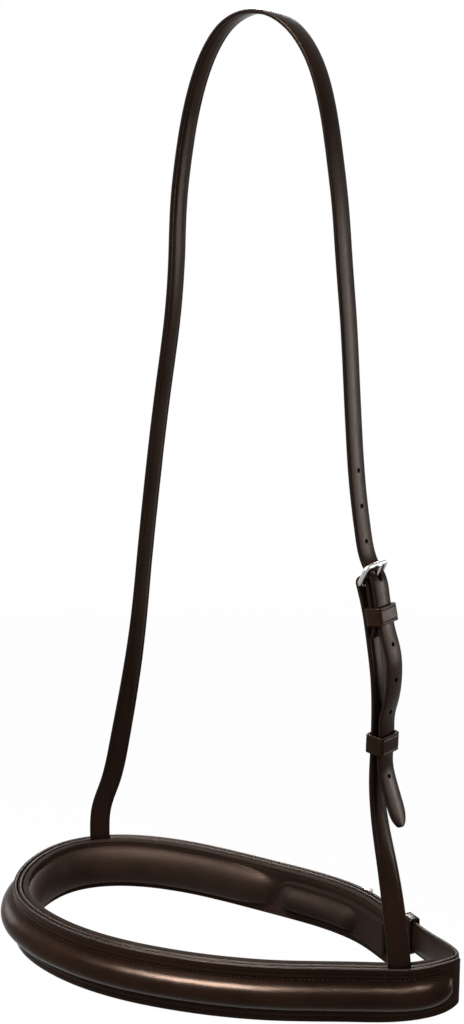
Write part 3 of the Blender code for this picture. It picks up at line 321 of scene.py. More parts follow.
class NosebandThread(bpy.types.PropertyGroup):
    """Sizes and colour of the stitching."""

    pitch: length_property("Pitch", "Distance from stitch to stitch", 0.0025, 0.001)
    length: length_property("Stitch length", "Thread that shows at each stitch", 0.0020, 0.0005)
    thickness: length_property("Thickness", "Thickness of the thread", 0.00062)
    slant: FloatProperty(
        name="Slant", description="Slant of each stitch to its row", default=math.radians(9),
        subtype="ANGLE", unit="ROTATION",
    )
    row_inset: length_property(
        "Row inset", "Row of stitches from the foot of a swell", 0.0013, 0.0005
    )
    groove: length_property("Groove", "Depth of the groove that a row is sunk in", 0.00030, 0)
    colour: colour_property("Thread", "Colour of the waxed thread", (0.024, 0.0130, 0.0085))


class NosebandSteel(bpy.types.PropertyGroup):
    """Finish of the buckles."""

    colour: colour_property("Steel", "Colour of the polished steel", (0.36, 0.36, 0.355))
    roughness: FloatProperty(
        name="Roughness", description="Roughness of the polished steel", default=0.22,
        min=0, max=1,
    )
    sides: IntProperty(
        name="Sides", description="Faces round the wire", default=20, min=8,
    )


class NosebandStudio(bpy.types.PropertyGroup):
    """Camera, floor and lamps."""

    camera_place: FloatVectorProperty(
        name="Camera", description="Place of the camera", subtype="XYZ", unit="LENGTH",
        default=(0.6411, -0.7409, -0.0150),
    )
    camera_heading: FloatVectorProperty(
        name="Heading", description="Level direction that the camera looks in", size=2,
        default=(-0.6639, 0.7478),
    )
    camera_pitch: FloatProperty(
        name="Pitch", description="How far the camera looks down", subtype="ANGLE",
        unit="ROTATION", default=math.radians(15.1),
    )
    focal_length: FloatProperty(
        name="Focal length", description="Lens, for a picture 36 mm high", default=61.1,
        min=1, unit="CAMERA",
    )
    floor_height: FloatProperty(
        name="Floor", description="Height of the floor", default=-0.95, unit="LENGTH",
    )
    ambient: FloatProperty(
        name="Ambient", description="Strength of the light from all round", default=0.20, min=0,
    )
    key: power_property("Key", "Power of the high front lamp", 15)
    sheen: power_property("Sheen", "Power of the lamp whose gloss lies on the ring", 14.5)
    strip: power_property("Strip", "Power of the low lamp whose gloss lies on the straps", 7)
    rim: power_property("Rim", "Power of the lamp whose gloss lies on the band's top edges", 2)
    back: power_property("Back", "Power of the lamp behind", 5)
    fill: power_property("Fill", "Power of each side lamp", 9)


class Route:
    """A smooth line through chosen points, read by the distance along it."""

    def __init__(self, points, closed=False):
        knots = np.array([tuple(point) for point in points], dtype=float)
        if closed:
            knots = np.vstack([knots, knots[:1]])
        gaps = np.linalg.norm(np.diff(knots, axis=0), axis=1)
        bends = self._bends(knots, gaps, closed)
        pieces = []
        part = np.linspace(0.0, 1.0, SPLINE_SAMPLES, endpoint=False)[:, None]
        for i, gap in enumerate(gaps):
            straight = knots[i] * (1 - part) + knots[i + 1] * part
            curl = (2 - part) * bends[i] + (1 + part) * bends[i + 1]
            pieces.append(straight - gap * gap * part * (1 - part) / 6 * curl)
        self.line = np.vstack(pieces + [knots[-1:]])
        steps = np.linalg.norm(np.diff(self.line, axis=0), axis=1)
        self.distance = np.concatenate([[0.0], np.cumsum(steps)])
        self.length = self.distance[-1]
        self.closed = closed

    @staticmethod
    def _bends(knots, gaps, closed):
        """Second derivatives of the cubic spline at its knots."""
        count = len(knots) - 1 if closed else len(knots)
        matrix = np.eye(count)
        right = np.zeros((count, knots.shape[1]))
        for i in range(count):
            if not closed and i in (0, count - 1):
                continue
            before = gaps[i - 1]
            after = gaps[i]
            ahead = knots[i + 1] - knots[i]
            behind = knots[i] - (knots[i - 1] if i > 0 else knots[-2])
            matrix[i] = 0.0
            matrix[i, i] = 2 * (before + after)
            matrix[i, (i - 1) % count] += before
            matrix[i, (i + 1) % count] += after
            right[i] = 6 * (ahead / after - behind / before)
        bends = np.linalg.solve(matrix, right)
        return np.vstack([bends, bends[:1]]) if closed else bends

    def point(self, distance):
        if self.closed:
            distance = distance % self.length
        return Vector([np.interp(distance, self.distance, axis) for axis in self.line.T])

    def tangent(self, distance):
        reach = 0.0005
        if self.closed:
            low, high = distance - reach, distance + reach
        else:
            low, high = max(distance - reach, 0.0), min(distance + reach, self.length)
        return (self.point(high) - self.point(low)).normalized()

    def nearest(self, target):
        """Distance along the line of its point nearest to a place."""
        return self.distance[np.linalg.norm(self.line - np.array(target), axis=1).argmin()]


def eased(table, place):
    """Read rows of (place, value) with a smooth step between rows."""
    if place <= table[0][0]:
        return table[0][1]
    for (start, low), (end, high) in zip(table, table[1:]):
        if place <= end:
            part = (place - start) / (end - start)
            return low + (high - low) * part * part * (3 - 2 * part)
    return table[-1][1]


def spread(start, end, step):
    """Even places from start to end, no further apart than step."""
    count = max(1, math.ceil(abs(end - start) / step - 1e-6))
    return [start + (end - start) * i / count for i in range(count + 1)]


def point_share(place, end, reach):
    """Share of the full width that a rounded point has at a place."""
    past = (place - (end - reach)) / reach
    return math.sqrt(max(0.0, 1 - past * past)) if past > 0 else 1.0


def rounded_run(start, end, step, reach):
    """Places from start to end, each with the inset that rounds off both ends."""
    lead = []
    for turn in END_TURNS:
        angle = math.radians(turn)
        lead.append((reach * (1 - math.sin(angle)), reach * (1 - math.cos(angle))))
    places = [(start + past, inset) for past, inset in lead]
    places += [(place, 0.0) for place in spread(start + reach, end - reach, step)]
    return places + [(end - past, inset) for past, inset in reversed(lead)]


# The ring
RING = Route(RING_PLAN, closed=True)
TIP = RING.length
NEAR_CHEEK = TIP - NEAR_CHEEK_TO_TIP
NOSE = (FAR_CHEEK + NEAR_CHEEK) / 2
COVER_INNER = -COVER_THICKNESS
BAND_MIDDLE = COVER_INNER - SEAM_GAP - BAND_THICKNESS / 2
LINING_OUTER = BAND_MIDDLE - BAND_THICKNESS / 2 - SEAM_GAP
LINING_INNER = LINING_OUTER - LINING_THICKNESS
PAD_OUTER = LINING_INNER - SEAM_GAP
PAD_INNER = PAD_OUTER - PAD_BACK_THICKNESS - SEAM_GAP - PAD_COVER_THICKNESS
COVER_END = TIP - COVER_SETBACK
LINING_END = NEAR_CHEEK + LINING_PAST_CHEEK


def ring_axes(place):
    """Forward and outward directions of the ring at a place."""
    forward = RING.tangent(place)
    return Vector((forward.x, forward.y, 0)), Vector((forward.y, -forward.x, 0))


def ring_place(place, outward, rise):
    """A point near the ring: outward of its outer face and above its lower edge."""
    x, y = RING.point(place)
    _, out = ring_axes(place)
    return Vector((x, y, RING_BOTTOM + rise)) + out * outward


def band_top(place):
    rows = [(FAR_CHEEK, BAND_HEIGHT), (NOSE, NOSE_HEIGHT), (NEAR_CHEEK, NEAR_CHEEK_HEIGHT)]
    rows.append((TIP, BILLET_RISE_AT_TIP + TIP_WIDTH / 2))
    return eased(rows, place)


def band_low(place):
    rise = BILLET_RISE_AT_TIP - TIP_WIDTH / 2
    return rise * (1 - point_share(place, TIP, CORNER_LENGTH))


def band_edges(place):
    return band_low(place), band_top(place)


def pad_edges(place):
    half = PAD_WIDTH / 2 * point_share(place, PAD_END, PAD_WIDTH / 2)
    return PAD_MIDDLE - half, PAD_MIDDLE + half


# Swells: each has the places where it starts and ends and the length of its rounded ends
COVER_SWELL = {
    "start": FAR_CHEEK - DOME_FADE / 2, "end": NEAR_CHEEK + RAISE_PAST_CHEEK,
    "fade": 0.75 * DOME_FADE, "width": COVER_DOME_WIDTH, "rise": COVER_DOME_RISE,
}
LINING_SWELL = {
    "start": LINING_DOME_START, "end": NEAR_CHEEK,
    "fade": 1.6 * DOME_FADE, "width": LINING_DOME_WIDTH, "rise": LINING_DOME_RISE,
}
PAD_SWELL = {
    "start": PAD_DOME_START, "end": PAD_END - PAD_WIDTH / 8,
    "fade": DOME_FADE / 2, "width": PAD_DOME_WIDTH, "rise": PAD_DOME_RISE,
}


def swell_share(swell, place, margin=0.0):
    """How full a swell is at a place, from 0 past its rounded ends to 1."""
    fade = swell["fade"] + margin
    near = min(place - (swell["start"] - margin), swell["end"] + margin - place)
    if near <= 0:
        return 0.0
    return math.sqrt(1 - (1 - min(near / fade, 1.0)) ** 2)


# Lofts

def section(across, outer, inner, reach, seams):
    """Closed section as rows of (across, out, edge, seam), over the outer face and back.

    across holds the places of both faces, outer and inner their heights, and reach how far
    the rounded cut edges stand past them.
    """
    turns = [math.pi * (i + 1) / (EDGE_STEPS + 1) for i in range(EDGE_STEPS)]

    def cut_edge(last, side):
        middle = (outer[last] + inner[last]) / 2
        half = (outer[last] - inner[last]) / 2
        rows = []
        for turn in turns:
            lift = math.cos(turn)
            push = math.sin(turn) ** EDGE_POWER
            rise = math.copysign(abs(lift) ** EDGE_POWER, lift)
            rows.append((across[last] + side * reach * push, middle + half * rise, push, 0.0))
        return rows

    rows = [(a, n, 0.0, seam) for a, n, seam in zip(across, outer, seams)]
    rows += cut_edge(-1, 1)
    rows += [(a, n, 0.0, 0.0) for a, n in zip(reversed(across), reversed(inner))]
    rows += reversed(cut_edge(0, -1))
    return rows


def dip(distance, half_width):
    """A smooth groove, 1 at its middle and 0 beyond its half width."""
    share = min(abs(distance) / half_width, 1.0)
    return (1 - share * share) ** 2


def unevenness(place, across, height):
    """Small rises and hollows of worked leather."""
    along, over = COARSE_WAVES
    coarse = noise.noise(Vector((place * along, across * over, 0.3)))
    along, over = FINE_WAVES
    fine = noise.noise(Vector((place * along, across * over, 7.1)))
    return height * (coarse + FINE_SHARE * fine)


def added(name, data):
    """A new object in the scene."""
    obj = bpy.data.objects.new(name, data)
    bpy.context.scene.collection.objects.link(obj)
    return obj


def skin(name, rings, sections, flow):
    """A closed mesh through rings of points; sections give the edge and seam of each point."""
    count = len(sections[0])
    faces_across = (count - 2 * EDGE_STEPS) // 2
    total = len(rings)
    faces = []
    for i in range(total - 1):
        for j in range(count):
            low = i * count + j
            side = i * count + (j + 1) % count
            faces.append((low, low + count, side + count, side))
    back = 2 * faces_across + EDGE_STEPS - 1
    for start in (0, (total - 1) * count):
        for j in range(faces_across - 1):
            face = (start + j, start + j + 1, start + back - j - 1, start + back - j)
            faces.append(face if start == 0 else face[::-1])
        high = [start + faces_across - 1 + i for i in range(EDGE_STEPS + 2)]
        low = [start + back + i for i in range(EDGE_STEPS + 1)] + [start]
        for face in (high, low):
            faces.append(tuple(face if start == 0 else face[::-1]))
    mesh = bpy.data.meshes.new(name)
    points = [tuple(point) for ring in rings for point in ring]
    mesh.from_pydata(points, [], faces)
    rows = [row for part in sections for row in part]
    for label, column in (("edge", 2), ("seam", 3)):
        values = mesh.attributes.new(label, "FLOAT", "POINT")
        values.data.foreach_set("value", [row[column] for row in rows])
    layer = mesh.uv_layers.new(name="Flow")
    corners = np.zeros(len(mesh.loops), dtype=np.int32)
    mesh.loops.foreach_get("vertex_index", corners)
    along = np.repeat(np.array(flow), count)
    across = np.array([row[0] for row in rows])
    layer.data.foreach_set("uv", np.stack([along, across], axis=1)[corners].ravel())
    work = bmesh.new()
    work.from_mesh(mesh)
    bmesh.ops.recalc_face_normals(work, faces=work.faces)
    work.to_mesh(mesh)
    work.free()
    mesh.shade_smooth()
    mesh.set_sharp_from_angle(angle=SMOOTH_ANGLE)
    return added(name, mesh)


def evaluated_mesh(obj):
    """The mesh that an object's modifiers make of it."""
    graph = bpy.context.evaluated_depsgraph_get()
    graph.update()
    return bpy.data.meshes.new_from_object(obj.evaluated_get(graph), depsgraph=graph)


def apply_modifiers(obj):
    mesh = evaluated_mesh(obj)
    obj.modifiers.clear()
    old = obj.data
    obj.data = mesh
    mesh.name = obj.name
    if old.users == 0:
        bpy.data.meshes.remove(old)
    return obj


def replace_node(obj, nodes, body, material=None):
    """Give a finished piece its material, body and the solids that it stands for."""
    if material:
        obj.data.materials.clear()
        obj.data.materials.append(material)
    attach(obj, body)
    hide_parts(*nodes)
    return obj


def face_stops(low, high, marks, counts):
    """Places over a face from low to high through marks, with even steps between them."""
    stops = [low] + list(marks) + [high]
    places = []
    for (start, end), count in zip(zip(stops, stops[1:]), counts):
        places += [start + (end - start) * i / count for i in range(count)]
    return places + [high]


def band_rings(stations, sections):
    """Points of sections across the band, whose rows are (rise, out, ...)."""
    rings = []
    for place, rows in zip(stations, sections):
        x, y = RING.point(place)
        _, out = ring_axes(place)
        foot = Vector((x, y, RING_BOTTOM))
        rings.append([foot + out * row[1] + UP * row[0] for row in rows])
    return rings


def swelled_section(place, inset, edges, swell, base, side, thickness, groove_at, crease_at):
    """Section of a leather round the ring that swells on one side over its padding.

    side is 1 for a swell that stands outward of base and -1 for one that stands inward.
    groove_at is the stitch row's distance from the swell's foot, or from the edge if below 0.
    """
    leather = bpy.context.scene.noseband_leather
    groove = bpy.context.scene.noseband_thread.groove
    low, high = edges
    reach = min(leather.edge_reach, (high - low) / 3)
    low, high = low + inset, high - inset
    middle = (low + high) / 2
    share = swell_share(swell, place)
    half = min(swell["width"] / 2, (high - low) / 2 - reach - FLAT_LEFT)
    row = swell["width"] / 2 + groove_at if groove_at > 0 else (high - low) / 2 + groove_at
    row = min(row, (high - low) / 2 - reach - GROOVE_TO_EDGE)
    shoulder = GROOVE_HALF * GROOVE_SHOULDER
    crease = (high - low) / 2 - crease_at
    if groove_at > 0:
        foot = min(half, row - shoulder)
        marks = [crease + leather.crease_width, crease, crease - leather.crease_width]
        marks += [row + GROOVE_HALF, row, row - shoulder]
    else:
        foot = half
        marks = [row + GROOVE_HALF, row, row - GROOVE_HALF, foot + 0.0006, foot + 0.0003]
        marks.append(foot + 0.0001)
    outside = sorted(-mark for mark in marks)
    across = face_stops(-(high - low) / 2 + reach, -foot, outside, (1, 2, 2, 1, 3, 3, 1))
    flat = len(across)
    across += [-foot * math.cos(math.pi * i / DOME_SAMPLES) for i in range(1, DOME_SAMPLES)]
    across += [-value for value in reversed(across[:flat])]
    swell_half = max(foot * (SWELL_END_WIDTH + (1 - SWELL_END_WIDTH) * share), 1e-6)
    outer, seams = [], []
    for value in across:
        spot = min(abs(value) / swell_half, 1.0)
        lift = share * swell["rise"] * (1 - spot * spot) ** SWELL_POWER
        fold = dip(abs(value) - row, GROOVE_HALF)
        sink = 0.0
        if groove_at > 0:
            fold *= swell_share(swell, place, groove_at)
            sink = leather.crease_depth * dip(abs(value) - crease, leather.crease_width)
        sink += groove * fold
        waves = FLAT_WAVINESS + share * (spot < 1.0)
        lift += unevenness(place, value, leather.waviness) * waves
        outer.append(lift - sink)
        seams.append(fold)
    face = [base + side * (value - inset) for value in outer]
    hidden = [base - side * (thickness - inset)] * len(face)
    heights = (face, hidden) if side > 0 else (hidden, face)
    rows = section([middle + value for value in across], *heights, reach, seams)
    if side < 0:
        start = len(across) + EDGE_STEPS
        for i, seam in enumerate(reversed(seams)):
            rows[start + i] = (*rows[start + i][:3], seam)
            rows[i] = (*rows[i][:3], 0.0)
    return rows


def strap_section(half, thickness, inset, place):
    """Section of a flat strap with rounded edges and creased lines along its outer face."""
    leather = bpy.context.scene.noseband_leather
    half = max(half - inset, 0.0004)
    reach = min(leather.edge_reach, 0.7 * half)
    share = min(1.0, half / (3 * leather.strap_crease_inset))
    crease = half - leather.strap_crease_inset * share
    width = leather.crease_width * share
    marks = [-crease - width, -crease, -crease + width, crease - width, crease, crease + width]
    marks = [min(max(mark, -half + reach), half - reach) for mark in marks]
    across = face_stops(-half + reach, half - reach, marks, (1, 2, 2, 4, 2, 2, 1))
    face = []
    for value in across:
        sink = leather.crease_depth * share * dip(abs(value) - crease, max(width, 1e-6))
        bow = unevenness(place, value, 0.6 * leather.waviness)
        fall = STRAP_CROWN * (value / half) ** 2
        face.append(thickness / 2 - inset - sink + bow - fall)
    back = [STRAP_CROWN * (value / half) ** 2 - (thickness / 2 - inset) for value in across]
    return section(across, face, back, reach, [0.0] * len(across))


def strap_rings(middles, sides, sections, level):
    """Points of strap sections along a line; level keeps upright sections upright."""
    line = np.array([tuple(point) for point in middles])
    along = np.gradient(line, axis=0)
    if level:
        along[:, 2] = 0
    along /= np.linalg.norm(along, axis=1)[:, None]
    rings = []
    for middle, forward, side, rows in zip(middles, along, sides, sections):
        forward = Vector(forward)
        side = (side - forward * side.dot(forward)).normalized()
        face = side.cross(forward).normalized()
        rings.append([middle + side * row[0] + face * row[1] for row in rows])
    return rings


def strap(name, stations, thickness, level=False):
    """A strap from stations of (middle, side direction, width, inset, distance)."""
    sections = [
        strap_section(width / 2, thickness, inset, distance)
        for _, _, width, inset, distance in stations
    ]
    middles = [row[0] for row in stations]
    rings = strap_rings(middles, [row[1] for row in stations], sections, level)
    return skin(name, rings, sections, [row[4] for row in stations])


# Cutting shapes

def axes_matrix(origin, x_axis, y_axis, z_axis):
    """Placing matrix from an origin and three square directions."""
    rotation = Matrix((x_axis, y_axis, z_axis)).transposed()
    return Matrix.Translation(origin) @ rotation.to_4x4()


def round_punch(work, place, radius, depth):
    bmesh.ops.create_cone(
        work, cap_ends=True, segments=20, radius1=radius, radius2=radius, depth=depth,
        matrix=place,
    )


def box_punch(work, place, size):
    bmesh.ops.create_cube(work, matrix=place @ Matrix.Diagonal((*size, 1)))


def oblong_punch(work, place, length, width, depth, steps=8):
    outline = []
    for end in (1, -1):
        for i in range(steps + 1):
            angle = math.pi * i / steps + (0 if end > 0 else math.pi)
            y = end * (length - width) / 2 + width / 2 * math.sin(angle)
            outline.append((width / 2 * math.cos(angle), y))
    rings = []
    for z in (-depth / 2, depth / 2):
        rings.append([work.verts.new(place @ Vector((x, y, z))) for x, y in outline])
    walls = [work.faces.new(rings[0]), work.faces.new(rings[1])]
    for i in range(len(outline)):
        j = (i + 1) % len(outline)
        walls.append(work.faces.new((rings[0][i], rings[0][j], rings[1][j], rings[1][i])))
    bmesh.ops.recalc_face_normals(work, faces=walls)


def punch(obj, make, material):
    """Cut shapes out of a leather; make(work) builds them, and their walls take material."""
    work = bmesh.new()
    make(work)
    mesh = bpy.data.meshes.new("punch")
    work.to_mesh(mesh)
    work.free()
    mesh.materials.append(material)
    cutter = added("punch", mesh)
    boolean = obj.modifiers.new("Punch", "BOOLEAN")
    boolean.operation = "DIFFERENCE"
    boolean.object = cutter
    boolean.material_mode = "TRANSFER"
    apply_modifiers(obj)
    bpy.data.objects.remove(cutter)
    obj.data.shade_smooth()
    obj.data.set_sharp_from_angle(angle=CUT_SMOOTH_ANGLE)
    return obj


# Buckles, in their own axes: X across the strap, Y along it towards the outer bar, Z outward

def tongue_radius(buckle):
    return buckle["bar"] + SLIP_GAP + buckle["tongue"]


def tongue_line(buckle):
    """Middle line of the tongue's shaft: where it leaves its eye, and its tip."""
    rest = Vector((0, buckle["reach"], buckle["rise"]))
    tilt = math.atan2(rest.z, rest.y)
    out = Vector((0, -math.sin(tilt), math.cos(tilt)))
    along = Vector((0, math.cos(tilt), math.sin(tilt)))
    start = out * tongue_radius(buckle)
    return start, start + along * (rest.dot(along) + TONGUE_OVERHANG)


def leaf_turn(buckle, leaf):
    return buckle["bar"] + SLIP_GAP + leaf / 2


def wrap_radius(buckle, leaf, over):
    return leaf_turn(buckle, leaf) + leaf / 2 + SEAM_GAP + over / 2 + WRAP_SLACK


def under_radius(buckle, under):
    return buckle["bar"] + SLIP_GAP + under / 2 + WRAP_SLACK


def sized_buckle(form, leaf, through, through_width):
    """A buckle whose frame is wide and long enough for the strap that passes through it."""
    room = wrap_radius(form, leaf, through) + under_radius(form, through)
    span = room / math.sin(math.radians(form["crossing"]))
    tilt = math.radians(form["tilt"])
    return dict(
        form, reach=span * math.cos(tilt), rise=span * math.sin(tilt), span=span,
        inside=through_width + 2 * BUCKLE_PLAY,
    )


def strap_between(buckle, leaf, through):
    """Where a strap's straight stretch leaves the outer bar and meets the folded leather."""
    slope = math.radians(buckle["tilt"] - buckle["crossing"])
    out = Vector((0, -math.sin(slope), math.cos(slope)))
    outer_bar = Vector((0, buckle["reach"], buckle["rise"]))
    return (
        outer_bar - out * under_radius(buckle, through), out * wrap_radius(buckle, leaf, through)
    )


def tongue_crossing(route, buckle, place):
    """Where a strap's route meets the tongue's shaft, and the angle between them."""
    start, tip = tongue_line(buckle)
    steps = [start.lerp(tip, i / 40) for i in range(41)]
    distances = [route.nearest(place @ step) for step in steps]
    gaps = [(route.point(d) - place @ step).length for d, step in zip(distances, steps)]
    at = distances[gaps.index(min(gaps))]
    shaft = (place.to_3x3() @ (tip - start)).normalized()
    return at, math.acos(min(1.0, abs(route.tangent(at).dot(shaft))))


def slot_width(buckle):
    return 2 * (buckle["tongue"] + SLOT_EXTRA)


def slot_punch(work, buckle, leaf, place):
    """The slot for the tongue's eye through the leather folded round the heel bar."""
    eye = tongue_radius(buckle) + buckle["tongue"] + SLIP_GAP
    fold = leaf_turn(buckle, leaf) + leaf
    middle = Matrix.Translation((0, (fold - eye) / 2, 0))
    box_punch(work, place @ middle, (slot_width(buckle), fold + eye, 2 * fold))


def tongue_hole(route, buckle, place, thickness):
    """The crossing, and the middle and length of the hole that lets the tongue swing there."""
    lifted = place @ Matrix.Rotation(math.radians(TONGUE_SWING), 4, "X")
    rest, rest_angle = tongue_crossing(route, buckle, place)
    swung, swung_angle = tongue_crossing(route, buckle, lifted)
    angle = (rest_angle + swung_angle) / 2
    through = thickness / math.tan(angle)
    wide = 2 * (buckle["tongue"] + SLIP_GAP) / math.sin(angle)
    return rest, (rest + swung) / 2, through + wide + abs(swung - rest)


def strap_axes(route, distance, across):
    along = route.tangent(distance)
    across = (across - along * across.dot(along)).normalized()
    return across, along, across.cross(along).normalized()


# The chin billet's way through its buckle
CHIN_BUCKLE = sized_buckle(CHIN_FRAME, CHAPE_THICKNESS, BAND_THICKNESS, BILLET_WIDTH)
CHIN_LEAF = SEAM_GAP + CHAPE_THICKNESS / 2
CHIN_BAR_OUT = CHIN_LEAF + leaf_turn(CHIN_BUCKLE, CHAPE_THICKNESS)
CHIN_OVER_BAR = CHIN_BAR_OUT + wrap_radius(CHIN_BUCKLE, CHAPE_THICKNESS, BAND_THICKNESS)
KEEPER_SPACE = KEEPER_WALL + 2 * SLIP_GAP
CHIN_TURNED_LEAF = CHIN_LEAF + CHAPE_THICKNESS + KEEPER_SPACE
CHIN_AT_KEEPER = CHIN_TURNED_LEAF + CHAPE_THICKNESS / 2 + SLIP_GAP + BAND_THICKNESS / 2
TAIL_KEEPER_INNER = SEAM_GAP + KEEPER_WALL + SLIP_GAP
CHIN_AT_TAIL = TAIL_KEEPER_INNER + BAND_THICKNESS / 2
BILLET_ON_BAND = SEAM_GAP + BAND_THICKNESS / 2 + WRAP_SLACK
chin_leaves, chin_lands = strap_between(CHIN_BUCKLE, CHAPE_THICKNESS, BAND_THICKNESS)
chin_forward, chin_out = ring_axes(CHIN_BAR)
CHIN_PLACE = axes_matrix(
    ring_place(CHIN_BAR, CHIN_BAR_OUT, BILLET_RISE_AT_BUCKLE), UP, -chin_forward, chin_out
)
BILLET_STEP = 0.010


def under_keeper(keeper_at, height, landing=KEEPER_LANDING):
    """Rows that hold a leather at one height all along a keeper."""
    return [
        (keeper_at - FIXED_KEEPER_LENGTH / 2 - landing, height),
        (keeper_at + FIXED_KEEPER_LENGTH / 2 + landing, height),
    ]


def billet_way(place):
    """Outward place and height of the billet's middle, past the tip."""
    outward = eased([
        (BILLET_TURNS, BAND_MIDDLE),
        (BAND_END, BILLET_ON_BAND),
        (BAND_END + BILLET_STEP, BILLET_ON_BAND),
        (CHIN_BAR - chin_leaves.y, CHIN_BAR_OUT + chin_leaves.z),
        (CHIN_BAR - chin_lands.y, CHIN_OVER_BAR),
        (CHIN_BAR, CHIN_OVER_BAR),
        *under_keeper(CHIN_BAR + CHIN_KEEPER_AT, CHIN_AT_KEEPER, 2 * KEEPER_LANDING),
        under_keeper(CHIN_BAR + TAIL_KEEPER_AT, CHIN_AT_TAIL, 2 * KEEPER_LANDING)[0],
    ], place)
    rise = eased([
        (0, BILLET_RISE_AT_TIP),
        (BAND_END - END_LOOP_LENGTH, BILLET_RISE_AT_LOOP),
        (BAND_END, BILLET_RISE_AT_LOOP),
        (CHIN_BAR - CHIN_BUCKLE["reach"], BILLET_RISE_AT_BUCKLE),
    ], place)
    return outward, rise


def billet_width(place):
    rows = [(0, TIP_WIDTH), (BAND_END - END_LOOP_LENGTH - BILLET_STEP, BILLET_WIDTH)]
    return eased(rows, place) * point_share(place, BILLET_END, BILLET_POINT)


BILLET_ROUTE = Route([
    ring_place(place, *billet_way(place)) for place in spread(BAND_END, BILLET_END, 0.002)
])


# The cheek strap's way, and the headstrap's over it
CHEEK_BUCKLE = sized_buckle(CHEEK_FRAME, STRAP_THICKNESS, STRAP_THICKNESS, STRAP_WIDTH)
near_forward, _ = ring_axes(NEAR_CHEEK)
NEAR_SOCKET = ring_place(NEAR_CHEEK, BAND_MIDDLE, band_top(NEAR_CHEEK))
far_forward, _ = ring_axes(FAR_CHEEK)
FAR_SOCKET = ring_place(FAR_CHEEK, BAND_MIDDLE, band_top(FAR_CHEEK))


def socket_points(socket):
    """The straight end of a strap in its pocket, from the bottom up."""
    drops = (POCKET_DEPTH - 2 * SEAM_GAP, POCKET_DEPTH / 2, 0.0)
    return [socket - Vector((0, 0, drop)) for drop in drops]


def hang(rows, top, socket):
    """Points of a strap from rows of x, y and the share of its fall from top to its socket."""
    return [Vector((x, y, top.z + (socket.z - top.z) * share)) for x, y, share in rows]


CHEEK_ROUTE = Route(
    [CHEEK_TOP] + hang(CHEEK_FALL, CHEEK_TOP, NEAR_SOCKET)
    + list(reversed(socket_points(NEAR_SOCKET)))
)


def turned_across(z, along_band, twist):
    """Direction across a hanging strap at a height, turning to lie along the band."""
    turn = math.atan2(along_band.x, along_band.y)
    turn *= eased([(twist[0], 1), (twist[1], 0)], z - RING_BOTTOM)
    return Vector((math.sin(turn), math.cos(turn), 0))


def cheek_across(z):
    return turned_across(z, near_forward, NEAR_TWIST)


def far_across(z):
    return turned_across(z, -far_forward, FAR_TWIST)


def cheek_axes(distance):
    """Across, along and outward on the cheek strap, at a distance below the heel bar."""
    point = CHEEK_ROUTE.point(distance)
    across, along, _ = strap_axes(CHEEK_ROUTE, distance, cheek_across(point.z))
    return point, across, along, along.cross(across).normalized()


def beside_cheek(distance, standoff):
    point, _, _, outward = cheek_axes(distance)
    return point + outward * standoff


CHEEK_LEAF_TURN = leaf_turn(CHEEK_BUCKLE, STRAP_THICKNESS)
bar_point, bar_across, bar_along, bar_outward = cheek_axes(0.0)
CHEEK_PLACE = axes_matrix(
    bar_point + bar_outward * CHEEK_LEAF_TURN, bar_across, -bar_along, bar_outward
)
CHEEK_TURNED_LEAF = STRAP_THICKNESS + KEEPER_SPACE
STANDOFF_AT_BAR = CHEEK_LEAF_TURN + wrap_radius(CHEEK_BUCKLE, STRAP_THICKNESS, STRAP_THICKNESS)
STANDOFF_AT_KEEPER = CHEEK_TURNED_LEAF + STRAP_THICKNESS + SLIP_GAP + KEEPER_EASE
KEEPER_REACH = FIXED_KEEPER_LENGTH / 2 + KEEPER_LANDING
STANDOFFS = [
    (0.0, STANDOFF_AT_BAR),
    (CHEEK_KEEPER_AT - KEEPER_REACH, STANDOFF_AT_KEEPER),
    (CHEEK_KEEPER_AT, STANDOFF_AT_KEEPER),
    (CHEEK_KEEPER_AT + KEEPER_REACH, STANDOFF_AT_KEEPER),
    (0.0390, 0.0117), (0.0550, 0.0108), (0.0680, 0.0080),
    (0.0780, RUNNER_STANDOFF), (0.0870, RUNNER_STANDOFF), (0.0960, RUNNER_STANDOFF),
    (0.1050, RUNNER_STANDOFF), (0.1180, 0.0088), (0.1320, 0.0128), (TAIL_DISTANCE, 0.0158),
]
CROWN_ENDS = [Vector((side * CROWN_FLAT, 0, STRAP_THICKNESS / 2)) for side in (-1, 1)]
FAR_ROUTE = Route(
    socket_points(FAR_SOCKET) + hang(FAR_FALL, FAR_TOP, FAR_SOCKET) + [FAR_TOP] + FAR_CROWN
    + [CROWN_ENDS[0]]
)
NEAR_ROUTE = Route(
    [CROWN_ENDS[1]] + NEAR_LEG
    + [
        CHEEK_PLACE @ point
        for point in strap_between(CHEEK_BUCKLE, STRAP_THICKNESS, STRAP_THICKNESS)
    ]
    + [beside_cheek(distance, standoff) for distance, standoff in STANDOFFS]
)


# Node trees

class Value:
    """What one node works out; plain arithmetic on it builds further nodes."""

    def __init__(self, socket):
        self.socket = socket
        self.tree = socket.id_data

    def math(self, operation, other=None, clamp=False):
        values = {0: self} if other is None else {0: self, 1: other}
        return made(self.tree, "ShaderNodeMath", values, operation=operation, use_clamp=clamp)

    def __add__(self, other):
        return self.math("ADD", other)

    def __sub__(self, other):
        return self.math("SUBTRACT", other)

    def __mul__(self, other):
        return self.math("MULTIPLY", other)

    def __truediv__(self, other):
        return self.math("DIVIDE", other)

    def __abs__(self):
        return self.math("ABSOLUTE")

    def ramp(self, from_low, from_high, to_low=0.0, to_high=1.0):
        """A smooth step from one range into another."""
        return made(self.tree, "ShaderNodeMapRange", {
            "Value": self, "From Min": from_low, "From Max": from_high, "To Min": to_low,
            "To Max": to_high,
        }, "Result", interpolation_type="SMOOTHSTEP")


